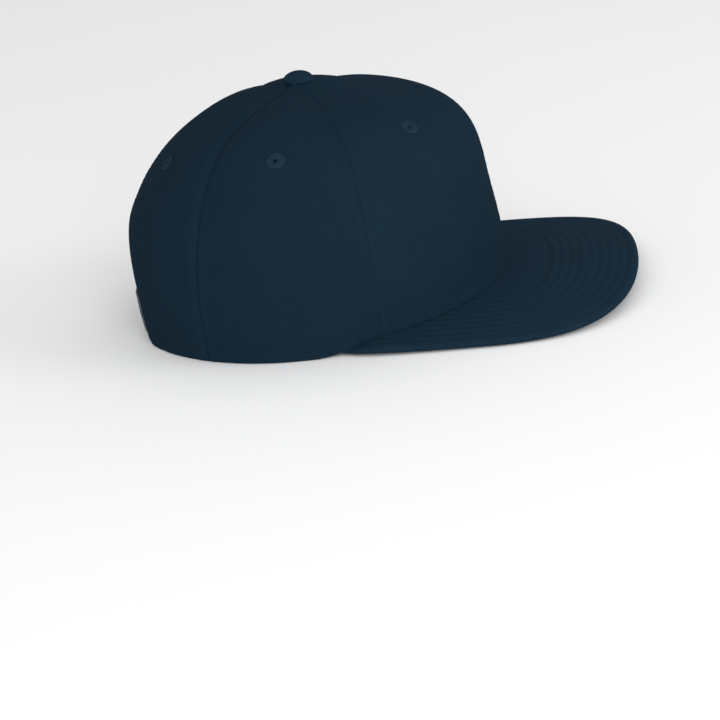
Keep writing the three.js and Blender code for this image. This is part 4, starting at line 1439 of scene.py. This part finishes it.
def build_strap(side, material):
    """One half of the snap strap: the flat plan laid on the bow, with its holes or with its pegs."""
    flat, quads, snaps = strap_plan(side)
    up = STRAP_RISE + STRAP_WIDTH / 2 + flat[:, 1]
    outer, _ = strap_point(flat[:, 0], up, 0.0, side)
    inner, _ = strap_point(flat[:, 0], up, STRAP_THICKNESS, side)
    points, faces = close_shell(outer, inner, quads)
    handed = "left" if side > 0 else "right"
    if side > 0:
        faces = face_outwards(points, faces)
        for peg, peg_quads in build_pegs(snaps, side):
            faces = np.concatenate([faces, peg_quads + len(points)])
            points = np.concatenate([points, peg])
    piece = make_piece(f"moulded_strap_{handed}", points, faces, material)
    round_edges(piece)
    return fit_in(piece, "strap_plastic", f"strap_{handed}")


def round_edges(piece):
    """A small round along the moulded edges."""
    bevel = piece.modifiers.new("rounded_edges", "BEVEL")
    bevel.width = 0.25 * MM
    bevel.segments = 2
    bevel.limit_method = "ANGLE"
    bevel.angle_limit = math.radians(50)


class CAP_OT_panels(bpy.types.Operator):
    """Build the crown's six cloth panels"""

    bl_idname = "cap.build_panels"
    bl_label = "Crown panels"

    def execute(self, context):
        sizes, colours = context.scene.cap_sizes, context.scene.cap_colours
        pitch = 1.2 * MM
        front = twill_cloth("crown_front_twill", colours.crown, math.radians(-8), pitch, 0.17, 0.1 * MM)
        sides = twill_cloth("crown_side_twill", colours.crown, math.radians(-36), pitch, 0.31, 0.2 * MM)
        for side in (-1, 1):
            for name in PANEL_SHARES:
                build_panel(name, side, sizes, front if name == "front" else sides)
        return {"FINISHED"}


class CAP_OT_eyelets(bpy.types.Operator):
    """Embroider the six eyelets"""

    bl_idname = "cap.build_eyelets"
    bl_label = "Eyelets"

    def execute(self, context):
        thread = twisted_thread("eyelet_thread", context.scene.cap_colours.eyelet, 1.0, 0.7)
        for side in (-1, 1):
            for name in EYELET_PLACES:
                build_eyelet(name, side, context.scene.cap_sizes, thread)
        return {"FINISHED"}


class CAP_OT_button(bpy.types.Operator):
    """Build the covered button on top"""

    bl_idname = "cap.build_button"
    bl_label = "Button"

    def execute(self, context):
        colour = context.scene.cap_colours.button
        cloth = twill_cloth("button_twill", colour, math.radians(-30), 1.0 * MM)
        build_button(cloth)
        return {"FINISHED"}


class CAP_OT_visor(bpy.types.Operator):
    """Build the visor"""

    bl_idname = "cap.build_visor"
    bl_label = "Visor"

    def execute(self, context):
        colour = context.scene.cap_colours.visor
        cloth = twill_cloth("visor_twill", colour, math.radians(35), 1.05 * MM)
        build_visor(context.scene.cap_sizes, cloth)
        return {"FINISHED"}


class CAP_OT_stitches(bpy.types.Operator):
    """Sew the stitch rows of the crown, the visor and the sweatband"""

    bl_idname = "cap.build_stitches"
    bl_label = "Stitches"

    def execute(self, context):
        sizes, colours = context.scene.cap_sizes, context.scene.cap_colours
        thread = twisted_thread("sewing_thread", colours.thread, 3.0)
        seams = [seam_row(seam, into, sizes) for seam in range(6) for into in (-1, 1)]
        end = rim_share_at(opening_angle(4 * MM))
        rim = [rim_row(-end, end, sizes.rim_row, sizes)]
        arch = [arch_row(distance, side, sizes) for distance in ARCH_ROWS for side in (-1, 1)]
        light = twisted_thread("rim_thread", colours.rim_thread, 3.0)
        top, under = (visor_stitch_lines(lower, sizes) for lower in (False, True))
        groups = {
            "stitches_seams": (seams + arch, "crown_cloth", thread, 0.02 * MM, 0.8),
            "stitches_rim": (rim, "crown_cloth", light, 0.18 * MM, 0.6),
            "stitches_visor_top": (top, "visor_cloth", thread, 0.05 * MM, 0.8),
            "stitches_visor_under": (under, "visor_cloth", thread, 0.05 * MM, 0.8),
            "stitches_sweatband": (band_rows(), "band_cloth", thread, 0.12 * MM, 0.8),
        }
        for name, (rows, slot, material, lift, fill) in groups.items():
            points, quads, uv = stitch_rows(rows, sizes.stitch_pitch, sizes.thread_radius, lift, fill)
            fit_in(make_piece(name, points, quads, material, uv), slot)
        return {"FINISHED"}


class CAP_OT_sweatband(bpy.types.Operator):
    """Build the sweatband inside the rim"""

    bl_idname = "cap.build_sweatband"
    bl_label = "Sweatband"

    def execute(self, context):
        colour = context.scene.cap_colours.band
        cloth = twill_cloth("sweatband_cotton", colour, math.radians(45), 0.8 * MM, 0.15)
        build_sweatband(cloth)
        return {"FINISHED"}


class CAP_OT_strap(bpy.types.Operator):
    """Build the two halves of the snap strap"""

    bl_idname = "cap.build_strap"
    bl_label = "Snap strap"

    def execute(self, context):
        plastic = satin_plastic("strap_plastic_satin", context.scene.cap_colours.strap)
        for side in (-1, 1):
            build_strap(side, plastic)
        return {"FINISHED"}


def add_light(name, position, target, size, power):
    """A square soft white light that faces a target."""
    data = bpy.data.lights.new(name, "AREA")
    data.shape = "SQUARE"
    data.size = size
    data.energy = power
    light = bpy.data.objects.new(name, data)
    light.location = position
    away = np.array(position) - np.array(target)
    flat = math.hypot(away[0], away[1])
    light.rotation_euler = (math.atan2(flat, away[2]), 0, math.atan2(away[0], -away[1]))
    bpy.context.scene.collection.objects.link(light)


class CAP_OT_stage(bpy.types.Operator):
    """Set up the floor, the light and the camera"""

    bl_idname = "cap.build_stage"
    bl_label = "Stage"

    def execute(self, context):
        settings = context.scene.cap_stage
        bench = NodeBench("pale_floor")
        where = bench.node("ShaderNodeTexCoord").outputs["Object"]
        cloud = bench.noise(where, 1.5, 3.0, flat=False)
        bench.settle(
            Base_Color=bench.blend(cloud, shade(settings.floor, 0.985), shade(settings.floor, 1.01)),
            Roughness=0.9,
        )
        line = np.linspace(-6, 6, 9)
        across, along = np.meshgrid(line, line)
        points = np.stack([across, along, np.full(across.shape, -0.2 * MM)], -1).reshape(-1, 3)
        mesh = bpy.data.meshes.new("floor")
        mesh.from_pydata(points.tolist(), [], grid_quads(len(line), len(line)).tolist())
        mesh.materials.append(bench.material)
        floor = bpy.data.objects.new("floor", mesh)
        context.scene.collection.objects.link(floor)

        world = bpy.data.worlds.new("studio")
        world.use_nodes = True
        background = world.node_tree.nodes["Background"]
        background.inputs["Color"].default_value = (1.0, 1.0, 1.0, 1.0)
        background.inputs["Strength"].default_value = settings.sky_strength
        context.scene.world = world
        target = (0, MIDDLE_Y, AIM_HEIGHT)
        add_light("key", (-1.4, -0.35, 0.55), target, 0.9, settings.key_power)
        add_light("front", (-0.6, -2.6, 1.0), target, 1.4, settings.key_power * 1.9)
        place_camera(settings)
        context.scene.view_settings.view_transform = "Standard"
        return {"FINISHED"}


def place_camera(settings):
    """The camera looks at the cap from its azimuth and elevation, rolled about its view."""
    a, e, r = settings.azimuth, settings.elevation, settings.roll
    right = np.array([math.cos(a), math.sin(a), 0])
    up = np.array([-math.sin(a) * math.sin(e), math.cos(a) * math.sin(e), math.cos(e)])
    back = np.array([math.sin(a) * math.cos(e), -math.cos(a) * math.cos(e), math.sin(e)])
    target = np.array([0, MIDDLE_Y, AIM_HEIGHT])
    position = target + back * settings.distance
    aim = target + right * settings.aim_right + up * settings.aim_up
    view = unit(aim - position)
    level = unit(np.cross(view, np.array([0, 0, 1.0])))
    above = np.cross(level, view)
    side = level * math.cos(r) - above * math.sin(r)
    top = level * math.sin(r) + above * math.cos(r)
    data = bpy.data.cameras.new("camera")
    data.lens = settings.lens
    data.sensor_width = 36.0
    data.clip_start = 0.01
    data.clip_end = 50.0
    camera = bpy.data.objects.new("camera", data)
    bpy.context.scene.collection.objects.link(camera)
    rotation = Matrix(np.stack([side, top, -view], axis=1).tolist())
    camera.matrix_world = Matrix.Translation(position.tolist()) @ rotation.to_4x4()
    bpy.context.scene.camera = camera


class CAP_PT_tools(bpy.types.Panel):
    """The cap's sizes, colours and pieces"""

    bl_idname = "CAP_PT_tools"
    bl_label = "Snapback cap"
    bl_space_type = "VIEW_3D"
    bl_region_type = "UI"
    bl_category = "Cap"

    def draw(self, context):
        layout = self.layout
        for group in (context.scene.cap_sizes, context.scene.cap_colours, context.scene.cap_stage):
            box = layout.box()
            for key in group.__annotations__:
                box.prop(group, key)
        for operator in OPERATORS:
            layout.operator(operator.bl_idname)


OPERATORS = (
    CAP_OT_panels, CAP_OT_eyelets, CAP_OT_button, CAP_OT_visor,
    CAP_OT_stitches, CAP_OT_sweatband, CAP_OT_strap, CAP_OT_stage,
)
GROUPS = {"cap_sizes": CapSizes, "cap_colours": CapColours, "cap_stage": StageSettings}


def register():
    """Makes the classes known and gives the scene its settings."""
    for group in GROUPS.values():
        bpy.utils.register_class(group)
    for operator in OPERATORS:
        bpy.utils.register_class(operator)
    bpy.utils.register_class(CAP_PT_tools)
    for name, group in GROUPS.items():
        setattr(bpy.types.Scene, name, bpy.props.PointerProperty(type=group))


def unregister():
    """Takes the settings and the classes away again."""
    for name in GROUPS:
        delattr(bpy.types.Scene, name)
    bpy.utils.unregister_class(CAP_PT_tools)
    for operator in reversed(OPERATORS):
        bpy.utils.unregister_class(operator)
    for group in reversed(GROUPS.values()):
        bpy.utils.unregister_class(group)


def main():
    register()
    bpy.ops.cap.build_panels()
    bpy.ops.cap.build_eyelets()
    bpy.ops.cap.build_button()
    bpy.ops.cap.build_visor()
    bpy.ops.cap.build_stitches()
    bpy.ops.cap.build_sweatband()
    bpy.ops.cap.build_strap()
    bpy.ops.cap.build_stage()


if __name__ == "__main__":
    main()
